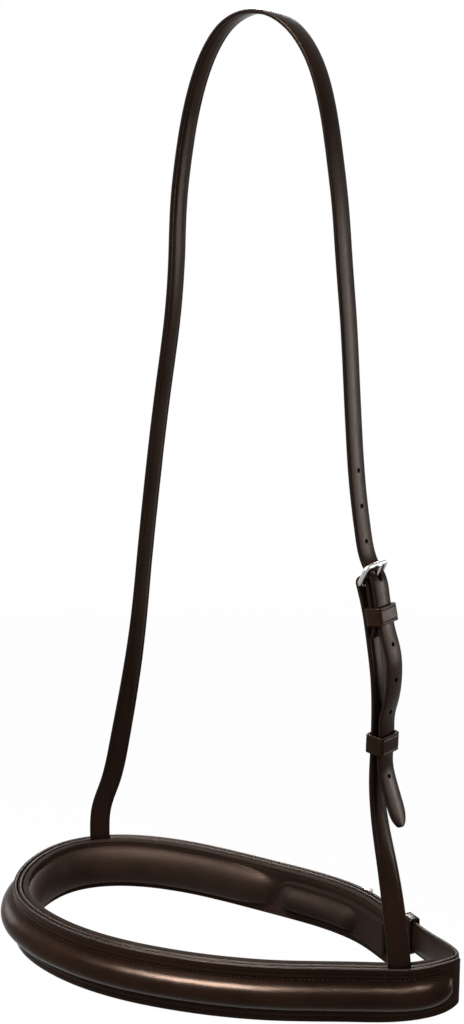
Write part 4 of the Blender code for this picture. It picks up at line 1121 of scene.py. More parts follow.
def fill_inputs(node, values):
    """Link or set a node's inputs by name or number."""
    for label, value in values.items():
        if isinstance(value, Value):
            node.id_data.links.new(value.socket, node.inputs[label])
        else:
            node.inputs[label].default_value = value


def put(tree, kind, values=None, **settings):
    """A new node with its settings and inputs."""
    node = tree.nodes.new(kind)
    for label, value in settings.items():
        setattr(node, label, value)
    fill_inputs(node, values or {})
    return node


def made(tree, kind, values=None, output=0, **settings):
    """What a new node works out."""
    return Value(put(tree, kind, values, **settings).outputs[output])


def made_once(store, name):
    """Decorator: build a named tree or material when it is first asked for, then reuse it."""
    def wrap(build):
        @functools.wraps(build)
        def found():
            blocks = getattr(bpy.data, store)
            return blocks[name] if name in blocks else build(name)
        return found
    return wrap


def socket_kind(default):
    """Kind of the socket that takes a value: a number, vector, colour or material."""
    if isinstance(default, tuple):
        return "Vector" if len(default) == 3 else "Color"
    return {float: "Float", int: "Int", type(None): "Material"}[type(default)]


def named_sockets(tree, inputs, outputs):
    """Give a tree named inputs with defaults, and outputs with kinds."""
    for label, default in inputs.items():
        kind = "NodeSocket" + socket_kind(default)
        socket = tree.interface.new_socket(name=label, in_out="INPUT", socket_type=kind)
        if default is not None:
            socket.default_value = default
    for label, kind in outputs.items():
        tree.interface.new_socket(name=label, in_out="OUTPUT", socket_type="NodeSocket" + kind)
    return named_values(tree.nodes.new("NodeGroupInput")), tree.nodes.new("NodeGroupOutput")


def named_values(node):
    return {socket.name: Value(socket) for socket in node.outputs if socket.name}


# Shader node groups

def new_group(name, inputs, outputs):
    """An empty shader group, the values it is given and its output node."""
    tree = bpy.data.node_groups.new(name, "ShaderNodeTree")
    return tree, *named_sockets(tree, inputs, outputs)


def mix_colour(tree, share, first, second, blend="MIX"):
    node = put(tree, "ShaderNodeMix", data_type="RGBA", blend_type=blend)
    numbers = {socket.identifier: i for i, socket in enumerate(node.inputs)}
    fill_inputs(node, {
        numbers["Factor_Float"]: share, numbers["A_Color"]: first, numbers["B_Color"]: second,
    })
    return Value(next(s for s in node.outputs if s.identifier == "Result_Color"))


def grey(value):
    return made(
        value.tree, "ShaderNodeCombineColor", {"Red": value, "Green": value, "Blue": value}
    )


def noise_of(vector, scale, detail=3.0, roughness=0.5):
    return made(vector.tree, "ShaderNodeTexNoise", {
        "Vector": vector, "Scale": scale, "Detail": detail, "Roughness": roughness,
    }, "Fac")


def attribute_value(tree, name):
    return made(tree, "ShaderNodeAttribute", None, "Fac", attribute_name=name)


@made_once("node_groups", "Noseband leather grain")
def grain_group(name):
    """Pebbled grain: fine cells with creases between them, and scattered pores."""
    tree, given, result = new_group(
        name, {"Vector": (0, 0, 0), "Cells": 1000.0}, {"Height": "Float"}
    )
    vector, cells = given["Vector"], given["Cells"]
    edges = made(
        tree, "ShaderNodeTexVoronoi", {"Vector": vector, "Scale": cells}, "Distance",
        feature="DISTANCE_TO_EDGE",
    )
    pores = made(
        tree, "ShaderNodeTexVoronoi", {"Vector": vector, "Scale": cells * 0.55}, "Distance"
    )
    creases = edges.ramp(0.02, 0.30, 1.0, 0.0)
    pits = pores.ramp(0.05, 0.16, 1.0, 0.0)
    height = creases * -0.55 - pits * 0.45 + noise_of(vector, 160.0, 4.0)
    fill_inputs(result, {"Height": height})
    return tree


@made_once("node_groups", "Noseband handling")
def handling_and_shade_group(name):
    """Uneven dye, handling's rubbed places and scuffs, darker burnished edges, painted groove
    shade.
    """
    tree, given, result = new_group(
        name,
        {
            "Vector": (0, 0, 0), "Colour": (0.1, 0.1, 0.1, 1), "Worn": (0.2, 0.2, 0.2, 1),
            "Edge colour": (0.05, 0.05, 0.05, 1), "Roughness": 0.4, "Wear": 0.3,
        },
        {"Colour": "Color", "Roughness": "Float"},
    )
    vector = given["Vector"]
    dye = noise_of(vector, 22.0, 4.0).ramp(0.30, 0.72)
    rubbed = noise_of(vector, 60.0, 5.0, 0.6).ramp(0.50, 0.78)
    stretched = made(tree, "ShaderNodeMapping", {"Vector": vector, "Scale": (260, 260, 1400)})
    scuffs = noise_of(stretched, 1.0, 2.0).ramp(0.66, 0.80)
    edge = attribute_value(tree, "edge")
    shade = grey(dye * 0.55 + 0.72)
    colour = mix_colour(tree, 1.0, given["Colour"], shade, "MULTIPLY")
    wear = (rubbed * given["Wear"]).math("ADD", scuffs * 0.25, clamp=True)
    colour = mix_colour(tree, wear, colour, given["Worn"])
    colour = mix_colour(tree, edge.ramp(0.15, 0.75), colour, given["Edge colour"])
    # Painted shade: the leather darkens along the stitch grooves that the seam attribute marks.
    painted_groove_shade = attribute_value(tree, "seam") * 0.45
    colour = mix_colour(tree, painted_groove_shade, colour, (0.006, 0.004, 0.003, 1))
    rough = given["Roughness"] + dye * 0.07 - rubbed * 0.08 + edge * 0.25
    fill_inputs(result, {"Colour": colour, "Roughness": rough})
    return tree


@made_once("node_groups", "Noseband pucker")
def pucker_group(name):
    """Leather drawn down between the stitches of a row, from the seam attribute and the flow."""
    tree, given, result = new_group(name, {"Pitch": 0.0025}, {"Height": "Float"})
    flow = made(tree, "ShaderNodeUVMap", uv_map="Flow")
    along = made(tree, "ShaderNodeSeparateXYZ", {"Vector": flow})
    wave = (along / given["Pitch"] * (2 * math.pi)).math("SINE")
    fill_inputs(result, {"Height": wave * attribute_value(tree, "seam")})
    return tree


@made_once("node_groups", "Noseband steel marks")
def scratch_group(name):
    """Fine scratches and water marks on polished steel."""
    tree, given, result = new_group(
        name, {"Vector": (0, 0, 0), "Roughness": 0.2},
        {"Height": "Float", "Roughness": "Float", "Dulling": "Float"},
    )
    stretched = made(tree, "ShaderNodeMapping", {
        "Vector": given["Vector"], "Rotation": (0.4, 0.7, 0.2), "Scale": (2600, 420, 520),
    })
    lines = noise_of(stretched, 1.0, 3.0).ramp(0.58, 0.72)
    marks = noise_of(given["Vector"], 240.0, 4.0).ramp(0.45, 0.75)
    rough = given["Roughness"] + marks * 0.10 + lines * 0.10
    fill_inputs(result, {"Height": lines, "Roughness": rough, "Dulling": marks})
    return tree


def place_group(tree, group, values):
    """A group placed in a material with its own values."""
    node = put(tree, "ShaderNodeGroup", node_tree=group)
    fill_inputs(node, values)
    return named_values(node)


def object_vector(tree):
    return made(tree, "ShaderNodeTexCoord", None, "Object")


def rgba(colour):
    return (*colour, 1)


# Materials

WAXED = {"Specular IOR Level": 0.045, "Specular Tint": (1.0, 0.72, 0.56, 1)}


def new_material(name):
    """A material with its node tree and its Principled shader."""
    material = bpy.data.materials.new(name)
    material.use_nodes = True
    tree = material.node_tree
    return material, tree, tree.nodes["Principled BSDF"]


# Leathers: their colour among the settings, roughness, wear, depth of the grain, its share of
# the grain's fineness, and whether stitches pucker them
LEATHERS = {
    "Havana bridle leather": ("colour", 0.23, 0.12, 0.00006, 1.0, True),
    "Soft lining leather": ("lining_colour", 0.58, 0.16, 0.00010, 0.8, True),
    # The chin pad's darker colour is painted shade inside the rear band.
    "Chin pad leather with painted shade": ("pad_shaded_colour", 0.72, 0.12, 0.00010, 0.8, True),
    "Punched leather wall": ("edge_colour", 0.55, 0.0, 0.00006, 1.0, False),
}


def leather_material(name):
    """Dyed, waxed leather with its grain, handling marks, burnished edges and painted groove
    shade.
    """
    if name in bpy.data.materials:
        return bpy.data.materials[name]
    leather = bpy.context.scene.noseband_leather
    colour, roughness, wear, grain_depth, fineness, puckered = LEATHERS[name]
    material, tree, shader = new_material(name)
    vector = object_vector(tree)
    marks_and_shade = place_group(tree, handling_and_shade_group(), {
        "Vector": vector, "Colour": rgba(getattr(leather, colour)),
        "Worn": rgba(leather.worn_colour), "Edge colour": rgba(leather.edge_colour),
        "Roughness": roughness, "Wear": wear,
    })
    cells = fineness * leather.grain
    grain = place_group(tree, grain_group(), {"Vector": vector, "Cells": cells})
    normal = made(tree, "ShaderNodeBump", {
        "Strength": 0.40, "Distance": grain_depth, "Height": grain["Height"],
    })
    if puckered:
        pitch = bpy.context.scene.noseband_thread.pitch
        pucker = place_group(tree, pucker_group(), {"Pitch": pitch})
        normal = made(tree, "ShaderNodeBump", {
            "Strength": 0.6, "Distance": 0.00018, "Height": pucker["Height"], "Normal": normal,
        })
    fill_inputs(shader, {
        "Base Color": marks_and_shade["Colour"], "Roughness": marks_and_shade["Roughness"],
        "Normal": normal, **WAXED,
    })
    return material


@made_once("materials", "Waxed thread")
def thread_material(name):
    """Waxed linen thread, with the twist of its plies."""
    material, tree, shader = new_material(name)
    shade = grey(noise_of(object_vector(tree), 420.0, 2.0).ramp(0.3, 0.7, 0.75, 1.2))
    base = rgba(bpy.context.scene.noseband_thread.colour)
    plies = (attribute_value(tree, "twist") * (2 * math.pi)).math("SINE")
    fill_inputs(shader, {
        "Base Color": mix_colour(tree, 1.0, base, shade, "MULTIPLY"), "Roughness": 0.6,
        "Normal": made(tree, "ShaderNodeBump", {"Distance": 0.00008, "Height": plies}), **WAXED,
    })
    return material


@made_once("materials", "Polished steel")
def steel_material(name):
    """Polished steel with fine scratches."""
    steel = bpy.context.scene.noseband_steel
    material, tree, shader = new_material(name)
    marks = place_group(tree, scratch_group(), {
        "Vector": object_vector(tree), "Roughness": steel.roughness,
    })
    dulled = tuple(0.72 * value for value in steel.colour)
    fill_inputs(shader, {
        "Base Color": mix_colour(tree, marks["Dulling"] * 0.5, rgba(steel.colour), rgba(dulled)),
        "Roughness": marks["Roughness"],
        "Normal": made(tree, "ShaderNodeBump", {
            "Strength": 0.25, "Distance": 0.00002, "Height": marks["Height"],
        }),
        "Metallic": 1.0,
    })
    return material


# Geometry node trees

def new_tree(name, inputs):
    """An empty geometry tree, the values it is given and its output node."""
    tree = bpy.data.node_groups.new(name, "GeometryNodeTree")
    tree.interface.new_socket(
        name="Geometry", in_out="INPUT", socket_type="NodeSocketGeometry"
    )
    return tree, *named_sockets(tree, inputs, {"Geometry": "Geometry"})


def finish_tree(tree, geometry, given, result):
    """Every tree ends in plain, smooth, painted geometry."""
    real = made(tree, "GeometryNodeRealizeInstances", {"Geometry": geometry})
    smooth = made(tree, "GeometryNodeSetShadeSmooth", {"Geometry": real})
    painted = made(
        tree, "GeometryNodeSetMaterial", {"Geometry": smooth, "Material": given["Material"]}
    )
    fill_inputs(result, {"Geometry": painted})
    return tree


def position(tree):
    """X, Y and Z of each point."""
    place = made(tree, "GeometryNodeInputPosition")
    split = put(tree, "ShaderNodeSeparateXYZ", {"Vector": place})
    return [Value(socket) for socket in split.outputs]


def stored(tree, geometry, name, value):
    """Geometry that carries a value at each point under a name."""
    return made(
        tree, "GeometryNodeStoreNamedAttribute",
        {"Geometry": geometry, "Name": name, "Value": value}, data_type="FLOAT", domain="POINT",
    )


def moved(tree, geometry, axis, distance):
    offset = made(tree, "ShaderNodeCombineXYZ", {axis: distance})
    return made(tree, "GeometryNodeSetPosition", {"Geometry": geometry, "Offset": offset})


def rounded_loop(tree, width, height, radius, corner_points, count):
    """A rectangle of curve with rounded corners, of count even points if that isn't 0."""
    loop = made(
        tree, "GeometryNodeCurvePrimitiveQuadrilateral", {"Width": width, "Height": height}
    )
    corners = {"Curve": loop, "Count": corner_points, "Radius": radius}
    path = made(tree, "GeometryNodeFilletCurve", corners, mode="POLY")
    if not count:
        return path
    return made(tree, "GeometryNodeResampleCurve", {"Curve": path, "Count": count}, mode="COUNT")


@made_once("node_groups", "Noseband stitch rows")
def stitch_tree(name):
    """Stitches along lines of edges, each laid on the leather by the line's out attribute."""
    tree, given, result = new_tree(name, {
        "Pitch": 0.0025, "Length": 0.002, "Thickness": 0.0006, "Slant": 0.15, "Material": None,
    })
    ball = made(tree, "GeometryNodeMeshUVSphere", {"Segments": 6, "Rings": 5, "Radius": 0.5})
    x, _, z = position(tree)
    stitch = made(tree, "GeometryNodeTransform", {
        "Geometry": stored(tree, ball, "twist", x * 3.0 + z * 1.5),
        "Rotation": made(tree, "ShaderNodeCombineXYZ", {"Z": given["Slant"]}),
        "Scale": made(tree, "ShaderNodeCombineXYZ", {
            "X": given["Length"], "Y": given["Thickness"], "Z": given["Thickness"],
        }),
    })
    line = made(tree, "GeometryNodeMeshToCurve", {"Mesh": given["Geometry"]})
    even = made(
        tree, "GeometryNodeResampleCurve", {"Curve": line, "Length": given["Pitch"]},
        mode="LENGTH",
    )
    out = made(tree, "GeometryNodeInputNamedAttribute", {"Name": "out"}, data_type="FLOAT_VECTOR")
    tangent = made(tree, "GeometryNodeInputTangent")
    along = made(tree, "FunctionNodeAlignRotationToVector", {"Vector": tangent}, axis="X")
    laid = made(
        tree, "FunctionNodeAlignRotationToVector", {"Rotation": along, "Vector": out},
        axis="Z", pivot_axis="X",
    )
    rows = made(tree, "GeometryNodeInstanceOnPoints", {
        "Points": even, "Instance": stitch, "Rotation": laid,
    })
    return finish_tree(tree, rows, given, result)


def bump_field(value, middle, half_width):
    """1 at middle and 0 beyond half_width from it."""
    return (abs(value - middle) / half_width).ramp(0.0, 1.0, 1.0, 0.0)


@made_once("node_groups", "Noseband keeper loop")
def keeper_tree(name):
    """A creased leather loop round what passes through it, its length along Z."""
    tree, given, result = new_tree(name, {
        "Width": 0.0138, "Height": 0.007, "Wall": 0.0016, "Length": 0.010, "Corner": 0.0016,
        "Edge": 0.0005, "Crease inset": 0.0016, "Crease depth": 0.0002,
        "Crease width": 0.0005, "Edge wear": 0.0007, "Material": None,
    })
    wall, length = given["Wall"], given["Length"]
    path = rounded_loop(
        tree, given["Width"] + wall, given["Height"] + wall, given["Corner"], 8, 0
    )
    upright = made(tree, "GeometryNodeSetCurveNormal", {"Curve": path}, mode="Z_UP")
    cut = rounded_loop(tree, wall, length, given["Edge"], 4, 96)
    x, y, _ = position(tree)
    half = length * 0.5
    groove = bump_field(abs(y), half - given["Crease inset"], given["Crease width"])
    inward = groove * given["Crease depth"] * x.math("SIGN")
    creased = moved(tree, cut, "X", inward * -1.0)
    rim = bump_field(abs(y), half, given["Edge wear"])
    body = made(tree, "GeometryNodeCurveToMesh", {
        "Curve": upright, "Profile Curve": stored(tree, creased, "edge", rim),
    })
    return finish_tree(tree, body, given, result)


@made_once("node_groups", "Noseband buckle frame")
def frame_tree(name):
    """A round-wire buckle frame from its heel bar at Y 0, with swelled heel corners."""
    tree, given, result = new_tree(name, {
        "Width": 0.016, "Span": 0.012, "Corner": 0.0022, "Wire": 0.0014, "Heel swell": 0.18,
        "Swell across": 0.0024, "Swell along": 0.0030, "Sides": 20, "Material": None,
    })
    width, span = given["Width"], given["Span"]
    path = rounded_loop(tree, width, span, given["Corner"], 10, 120)
    raised = moved(tree, path, "Y", span * 0.5)
    x, y, _ = position(tree)
    near_side = bump_field(abs(x), width * 0.5, given["Swell across"])
    near_heel = bump_field(y, 0.0, given["Swell along"])
    sized = made(tree, "GeometryNodeSetCurveRadius", {
        "Curve": raised, "Radius": near_side * near_heel * given["Heel swell"] + 1.0,
    })
    wire = made(tree, "GeometryNodeCurvePrimitiveCircle", {
        "Resolution": given["Sides"], "Radius": given["Wire"],
    })
    body = made(tree, "GeometryNodeCurveToMesh", {"Curve": sized, "Profile Curve": wire})
    return finish_tree(tree, body, given, result)


def grow(obj, tree, values):
    """Give an object the plain mesh that a geometry tree makes from its named inputs."""
    growth = obj.modifiers.new("Growth", "NODES")
    growth.node_group = tree
    for item in tree.interface.items_tree:
        if item.item_type == "SOCKET" and item.in_out == "INPUT" and item.name in values:
            growth[item.identifier] = values[item.name]
    return apply_modifiers(obj)


def grow_solid(name, tree, values, place):
    """A new closed piece made by a geometry tree, set in its place."""
    obj = grow(added(name, bpy.data.meshes.new(name)), tree, values)
    obj.data.transform(place)
    correct_normals(obj.data)
    obj.data.shade_smooth()
    return obj


def correct_normals(mesh):
    work = bmesh.new()
    work.from_mesh(mesh)
    bmesh.ops.remove_doubles(work, verts=work.verts, dist=1e-6)
    bmesh.ops.recalc_face_normals(work, faces=work.faces)
    work.to_mesh(mesh)
    work.free()


# Stitch rows: lists of (point, out) that run along a seam

def ring_stitch(place, outward, rise):
    """A place on a face of the band, and the way that face looks."""
    _, out = ring_axes(place)
    facing = 1 if outward > LINING_OUTER else -1
    return ring_place(place, outward, rise), out * facing


def band_row(places, rise_of, outward):
    """A row round the ring; rise_of(place) is its height and outward its face's place."""
    return [ring_stitch(place, outward, rise_of(place)) for place in places]


def edge_row(places, side, inset, outward):
    """A row along the band's upper edge, where side is 1, or its lower one, where it is -1."""
    def rise_of(place):
        low, high = band_edges(place)
        return high - inset if side > 0 else low + inset
    return band_row(places, rise_of, outward)


def upright_row(place, inset, outward):
    """A row straight up the band at a place, between its edge rows."""
    low, high = band_edges(place)
    rises = spread(low + inset, high - inset, ROW_STEP)
    return [ring_stitch(place, outward, rise) for rise in rises]


def swell_row(swell, inset, outward, end_steps=12):
    """A closed row round the foot of a swell."""
    start, end = swell["start"] - inset, swell["end"] + inset
    half = swell["width"] / 2 + inset

    def rise_of(place, side):
        low, high = band_edges(place)
        return (low + high) / 2 + side * half * swell_share(swell, place, inset)

    turns = [math.pi / 2 * i / end_steps for i in range(end_steps)]
    round_end = [start + swell["fade"] * (1 - math.cos(turn)) for turn in turns]
    far_end = [end - (place - start) for place in reversed(round_end)]
    places = round_end + spread(start + swell["fade"], end - swell["fade"], BAND_STEP) + far_end
    up = band_row(places, lambda place: rise_of(place, 1), outward)
    down = band_row(places[::-1], lambda place: rise_of(place, -1), outward)
    return up + down[1:]


def pocket_row(cheek, outward):
    """Down, across and up round the end of a strap in its pocket."""
    half = STRAP_WIDTH / 2 + POCKET_ROW_OFFSET
    top, bottom = (band_top(cheek) + rise for rise in POCKET_ROW_RISES)
    corners = [(-half, top), (-half, bottom), (half, bottom), (half, top)]
    rows = []
    for (start, high), (end, low) in zip(corners, corners[1:]):
        for part in spread(0, 1, 0.25):
            place = cheek + start + (end - start) * part
            rows.append(ring_stitch(place, outward, high + (low - high) * part))
    return rows


def strap_row(places, middle_of, side_of, offset, lift, face_sign):
    """A row along a strap, offset across it and lifted off its middle."""
    middles = [middle_of(place) for place in places]
    along = np.gradient(np.array([tuple(point) for point in middles]), axis=0)
    rows = []
    for place, middle, forward in zip(places, middles, along):
        forward = Vector(forward).normalized()
        side = side_of(place)
        side = (side - forward * side.dot(forward)).normalized()
        face = forward.cross(side).normalized() * face_sign
        rows.append((middle + side * offset + face * lift, face))
    return rows


def sew(name, rows, body):
    """Stitches along rows of (point, out), as one piece on a body."""
    thread = bpy.context.scene.noseband_thread
    mesh = bpy.data.meshes.new(name)
    points, edges, outs = [], [], []
    for row in rows:
        first = len(points)
        points += [tuple(point) for point, _ in row]
        outs += [tuple(out) for _, out in row]
        edges += [(i, i + 1) for i in range(first, len(points) - 1)]
    mesh.from_pydata(points, edges, [])
    attribute = mesh.attributes.new("out", "FLOAT_VECTOR", "POINT")
    attribute.data.foreach_set("vector", [value for out in outs for value in out])
    obj = grow(added(name, mesh), stitch_tree(), {
        "Pitch": thread.pitch, "Length": thread.length, "Thickness": thread.thickness,
        "Slant": thread.slant, "Material": thread_material(),
    })
    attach(obj, body)


# Operators

def padded_skin(name, run, edges, swell, base, side, thickness, groove_at):
    """A leather round the ring over its padding, through rows of (place, inset)."""
    crease_at = bpy.context.scene.noseband_leather.crease_inset
    sections = [
        swelled_section(
            place, inset, edges(place), swell, base, side, thickness, groove_at, crease_at
        )
        for place, inset in run
    ]
    places = [place for place, _ in run]
    return skin(name, band_rings(places, sections), sections, places)


class NOSEBAND_OT_cover(bpy.types.Operator):
    """Make the raised outer leather of the band"""

    bl_idname = "noseband.cover"
    bl_label = "Raised Cover"

    def execute(self, context):
        reach = context.scene.noseband_leather.edge_reach
        turn = TIP - TIP_STRETCH
        run = rounded_run(BAND_END, turn, BAND_STEP, reach)
        run = [row for row in run if row[0] < turn - reach]
        corner = rounded_run(turn, COVER_END, COVER_TIP_STEP, reach)
        run += [row for row in corner if row[0] > turn + reach / 2]
        obj = padded_skin(
            "raised_cover", run, band_edges, COVER_SWELL, 0.0, 1,
            COVER_THICKNESS + SEAM_GAP - BOND, context.scene.noseband_thread.row_inset,
        )
        leather = leather_material("Havana bridle leather")
        replace_node(obj, ["outer_cover", "raise_filler"], BAND, leather)
        return {"FINISHED"}


class NOSEBAND_OT_lining(bpy.types.Operator):
    """Make the padded lining inside the band"""

    bl_idname = "noseband.lining"
    bl_label = "Padded Lining"

    def execute(self, context):
        reach = context.scene.noseband_leather.edge_reach
        run = rounded_run(BAND_END, LINING_END, BAND_STEP, reach)
        obj = padded_skin(
            "padded_lining_leather", run, band_edges, LINING_SWELL, LINING_INNER, -1,
            LINING_THICKNESS + SEAM_GAP - BOND, -LINING_ROW_INSET,
        )
        leather = leather_material("Soft lining leather")
        replace_node(obj, ["padded_lining", "padding_foam"], BAND, leather)
        return {"FINISHED"}


class NOSEBAND_OT_chin_pad(bpy.types.Operator):
    """Make the padded leather on the inside of the rear band"""

    bl_idname = "noseband.chin_pad"
    bl_label = "Chin Pad"

    def execute(self, context):
        reach = context.scene.noseband_leather.edge_reach
        start, end = BAND_END + PAD_SETBACK, PAD_END - PAD_WIDTH / 2
        run = rounded_run(start, end, BAND_STEP, reach)[:-len(END_TURNS)]
        for i in range(1, PAD_END_STEPS + 1):
            turn = PAD_END_TURN * i / PAD_END_STEPS
            run.append((PAD_END - PAD_WIDTH / 2 * (1 - math.sin(turn)), 0.0))
        obj = padded_skin(
            "chin_pad", run, pad_edges, PAD_SWELL, PAD_INNER, -1,
            PAD_BACK_THICKNESS + PAD_COVER_THICKNESS + 2 * SEAM_GAP - BOND, -PAD_ROW_INSET,
        )
        nodes = ["chin_pad_back", "chin_pad_cover", "chin_pad_foam"]
        replace_node(obj, nodes, BAND, leather_material("Chin pad leather with painted shade"))
        return {"FINISHED"}


def punched(obj, make, node):
    """Dye a strap, cut its holes with make(work), and put it in its solid's place."""
    obj.data.materials.append(leather_material("Havana bridle leather"))
    punch(obj, make, leather_material("Punched leather wall"))
    replace_node(obj, [node], BAND)


def strap_holes(work, route, across_of, buckle, place, thickness, radius, steps):
    """A strap's round holes at steps from the long one that the buckle's tongue swings in."""
    at, middle, length = tongue_hole(route, buckle, place, thickness)

    def hole_place(distance):
        point = route.point(distance)
        across, along, face = strap_axes(route, distance, across_of(point.z))
        return axes_matrix(point, across, along, face)

    oblong_punch(work, hole_place(middle), length, slot_width(buckle), 3 * thickness)
    for step in steps:
        round_punch(work, hole_place(at + step), radius, 2 * thickness)


def point_run(end, reach, count=14):
    """Places along a rounded point, closer together towards its end."""
    last = math.radians(86)
    places = [end - reach + reach * math.sin(last * i / count) for i in range(count + 1)]
    return places[1:]


class NOSEBAND_OT_band_strap(bpy.types.Operator):
    """Make the full-height strap of the band and the billet that it runs out into"""

    bl_idname = "noseband.band_strap"
    bl_label = "Band Strap and Billet"

    def execute(self, context):
        reach = context.scene.noseband_leather.edge_reach
        stations = []
        for place, inset in rounded_run(BAND_END, TIP, BAND_STEP, reach):
            if place > TIP - TIP_STRETCH - BAND_STEP:
                break
            stations.append(self.band_station(place, inset))
        for place in spread(TIP - TIP_STRETCH, TIP, STRAP_TIP_STEP):
            stations.append(self.band_station(place, 0.0))
        places = spread(STRAP_TIP_STEP, BAND_END, BILLET_SPACING)
        places += spread(BAND_END, CHIN_BAR, BUCKLE_STEP)[1:]
        places += spread(CHIN_BAR, BILLET_END - BILLET_POINT, TURN_STEP)[1:]
        places += point_run(BILLET_END, BILLET_POINT)
        stations += [self.billet_station(place) for place in places]
        obj = strap("band_strap_leather", stations, BAND_THICKNESS, level=True)
        punched(obj, self.cut, "band_strap")
        return {"FINISHED"}

    @staticmethod
    def band_station(place, inset):
        low, high = band_edges(place)
        middle = ring_place(place, BAND_MIDDLE, (low + high) / 2)
        return middle, UP, high - low, inset, place

    @staticmethod
    def billet_station(place):
        outward, rise = billet_way(place)
        return ring_place(place, outward, rise), UP, billet_width(place), 0.0, TIP + place

    @staticmethod
    def cut(work):
        """The billet's holes, and the pockets that hold the ends of the hanging straps."""
        steps = [step * BILLET_HOLE_PITCH for step in BILLET_HOLES]
        strap_holes(
            work, BILLET_ROUTE, lambda _: UP, CHIN_BUCKLE, CHIN_PLACE, BAND_THICKNESS,
            BILLET_HOLE / 2, steps,
        )
        for cheek in (FAR_CHEEK, NEAR_CHEEK):
            forward, out = ring_axes(cheek)
            rise = band_top(cheek) - POCKET_DEPTH / 2 + SEAM_GAP
            box = axes_matrix(ring_place(cheek, BAND_MIDDLE, rise), forward, -out, UP)
            size = (STRAP_WIDTH + SEAM_GAP, 2 * BAND_THICKNESS, POCKET_DEPTH + 4 * SEAM_GAP)
            box_punch(work, box, size)


class NOSEBAND_OT_headstrap(bpy.types.Operator):
    """Make the strap over the poll, through the cheek buckle to its tail"""

    bl_idname = "noseband.headstrap"
    bl_label = "Headstrap"

    def execute(self, context):
        reach = context.scene.noseband_leather.edge_reach
        over = FAR_ROUTE.length - CROWN_BLEND
        far = rounded_run(0.0, over, STRAP_STEP, reach)
        stations = []
        for distance, inset in far[:-len(END_TURNS)]:
            point = FAR_ROUTE.point(distance)
            stations.append((point, far_across(point.z), STRAP_WIDTH, inset, distance))
        crown = Route([
            FAR_ROUTE.point(over - CROWN_BLEND), FAR_ROUTE.point(over),
            Vector((0, 0, STRAP_THICKNESS / 2)),
            NEAR_ROUTE.point(CROWN_BLEND), NEAR_ROUTE.point(2 * CROWN_BLEND),
        ])
        start = crown.nearest(FAR_ROUTE.point(over))
        end = crown.nearest(NEAR_ROUTE.point(CROWN_BLEND))
        for distance in spread(start, end, STRAP_STEP)[:-1]:
            stations.append(
                (crown.point(distance), far_across(0.0), STRAP_WIDTH, 0.0, over + distance - start)
            )
        bar = NEAR_ROUTE.nearest(beside_cheek(0.0, STANDOFF_AT_BAR))
        places = spread(CROWN_BLEND, bar - BUCKLE_BEND, STRAP_STEP)
        places += spread(bar - BUCKLE_BEND, bar + BUCKLE_BEND, TURN_STEP)[1:]
        places += spread(bar + BUCKLE_BEND, NEAR_ROUTE.length - STRAP_POINT, STRAP_STEP)[1:]
        for distance in places + point_run(NEAR_ROUTE.length, STRAP_POINT):
            point = NEAR_ROUTE.point(distance)
            width = STRAP_WIDTH * point_share(distance, NEAR_ROUTE.length, STRAP_POINT)
            stations.append(
                (point, cheek_across(point.z), width, 0.0, FAR_ROUTE.length + distance)
            )
        obj = strap("headstrap_leather", stations, STRAP_THICKNESS)
        punched(obj, self.cut, "headstrap")
        return {"FINISHED"}

    @staticmethod
    def cut(work):
        numbers = range(-STRAP_HOLES_ABOVE, STRAP_HOLES_BELOW + 1)
        steps = [number * STRAP_HOLE_PITCH for number in numbers if number]
        strap_holes(
            work, NEAR_ROUTE, cheek_across, CHEEK_BUCKLE, CHEEK_PLACE, STRAP_THICKNESS,
            STRAP_HOLE / 2, steps,
        )


def fold_stations(place, radius, across, width):
    """Stations of a strap that folds round its buckle's heel bar."""
    stations = []
    for i in range(FOLD_STEPS + 1):
        angle = math.pi * i / FOLD_STEPS
        middle = place @ Vector((0, math.sin(angle) * radius, -math.cos(angle) * radius))
        stations.append((middle, across, width, 0.0, angle * radius))
    return stations


def turned_leaf(distance):
    """Middle of the cheek strap's turned end, outside its own lower leaf."""
    rows = [(0.0, 2 * CHEEK_LEAF_TURN), *under_keeper(CHEEK_KEEPER_AT, CHEEK_TURNED_LEAF)]
    rows.append((CHEEK_TURN, STRAP_THICKNESS + SEAM_GAP))
    return beside_cheek(distance, eased(rows, distance))


class NOSEBAND_OT_cheek_strap(bpy.types.Operator):
    """Make the strap from the near cheek up to its fold round the heel bar"""

    bl_idname = "noseband.cheek_strap"
    bl_label = "Cheek Strap"

    def execute(self, context):
        reach = context.scene.noseband_leather.edge_reach
        stations = []
        down = rounded_run(0.0, CHEEK_ROUTE.length, STRAP_STEP, reach)
        for distance, inset in reversed(down[len(END_TURNS):]):
            point, across, _, _ = cheek_axes(distance)
            stations.append((point, across, STRAP_WIDTH, inset, -distance))
        across = cheek_axes(0.0)[1]
        stations += fold_stations(CHEEK_PLACE, CHEEK_LEAF_TURN, across, STRAP_WIDTH)
        turned = rounded_run(0.0, CHEEK_TURN, TURN_STEP, reach)[len(END_TURNS):]
        for distance, inset in turned:
            across = cheek_axes(distance)[1]
            stations.append((turned_leaf(distance), across, STRAP_WIDTH, inset, distance + 0.01))
        obj = strap("cheek_strap_leather", stations, STRAP_THICKNESS)
        punched(obj, self.cut, "cheek_strap")
        return {"FINISHED"}

    @staticmethod
    def cut(work):
        slot_punch(work, CHEEK_BUCKLE, STRAP_THICKNESS, CHEEK_PLACE)


def chape_leaf(place):
    """Outward place of the chape's turned leaf."""
    return eased([
        (CHIN_BAR, CHIN_BAR_OUT + leaf_turn(CHIN_BUCKLE, CHAPE_THICKNESS)),
        *under_keeper(CHIN_BAR + CHIN_KEEPER_AT, CHIN_TURNED_LEAF),
        (CHIN_BAR + CHAPE_TURN, CHIN_LEAF + CHAPE_THICKNESS + SEAM_GAP),
    ], place)


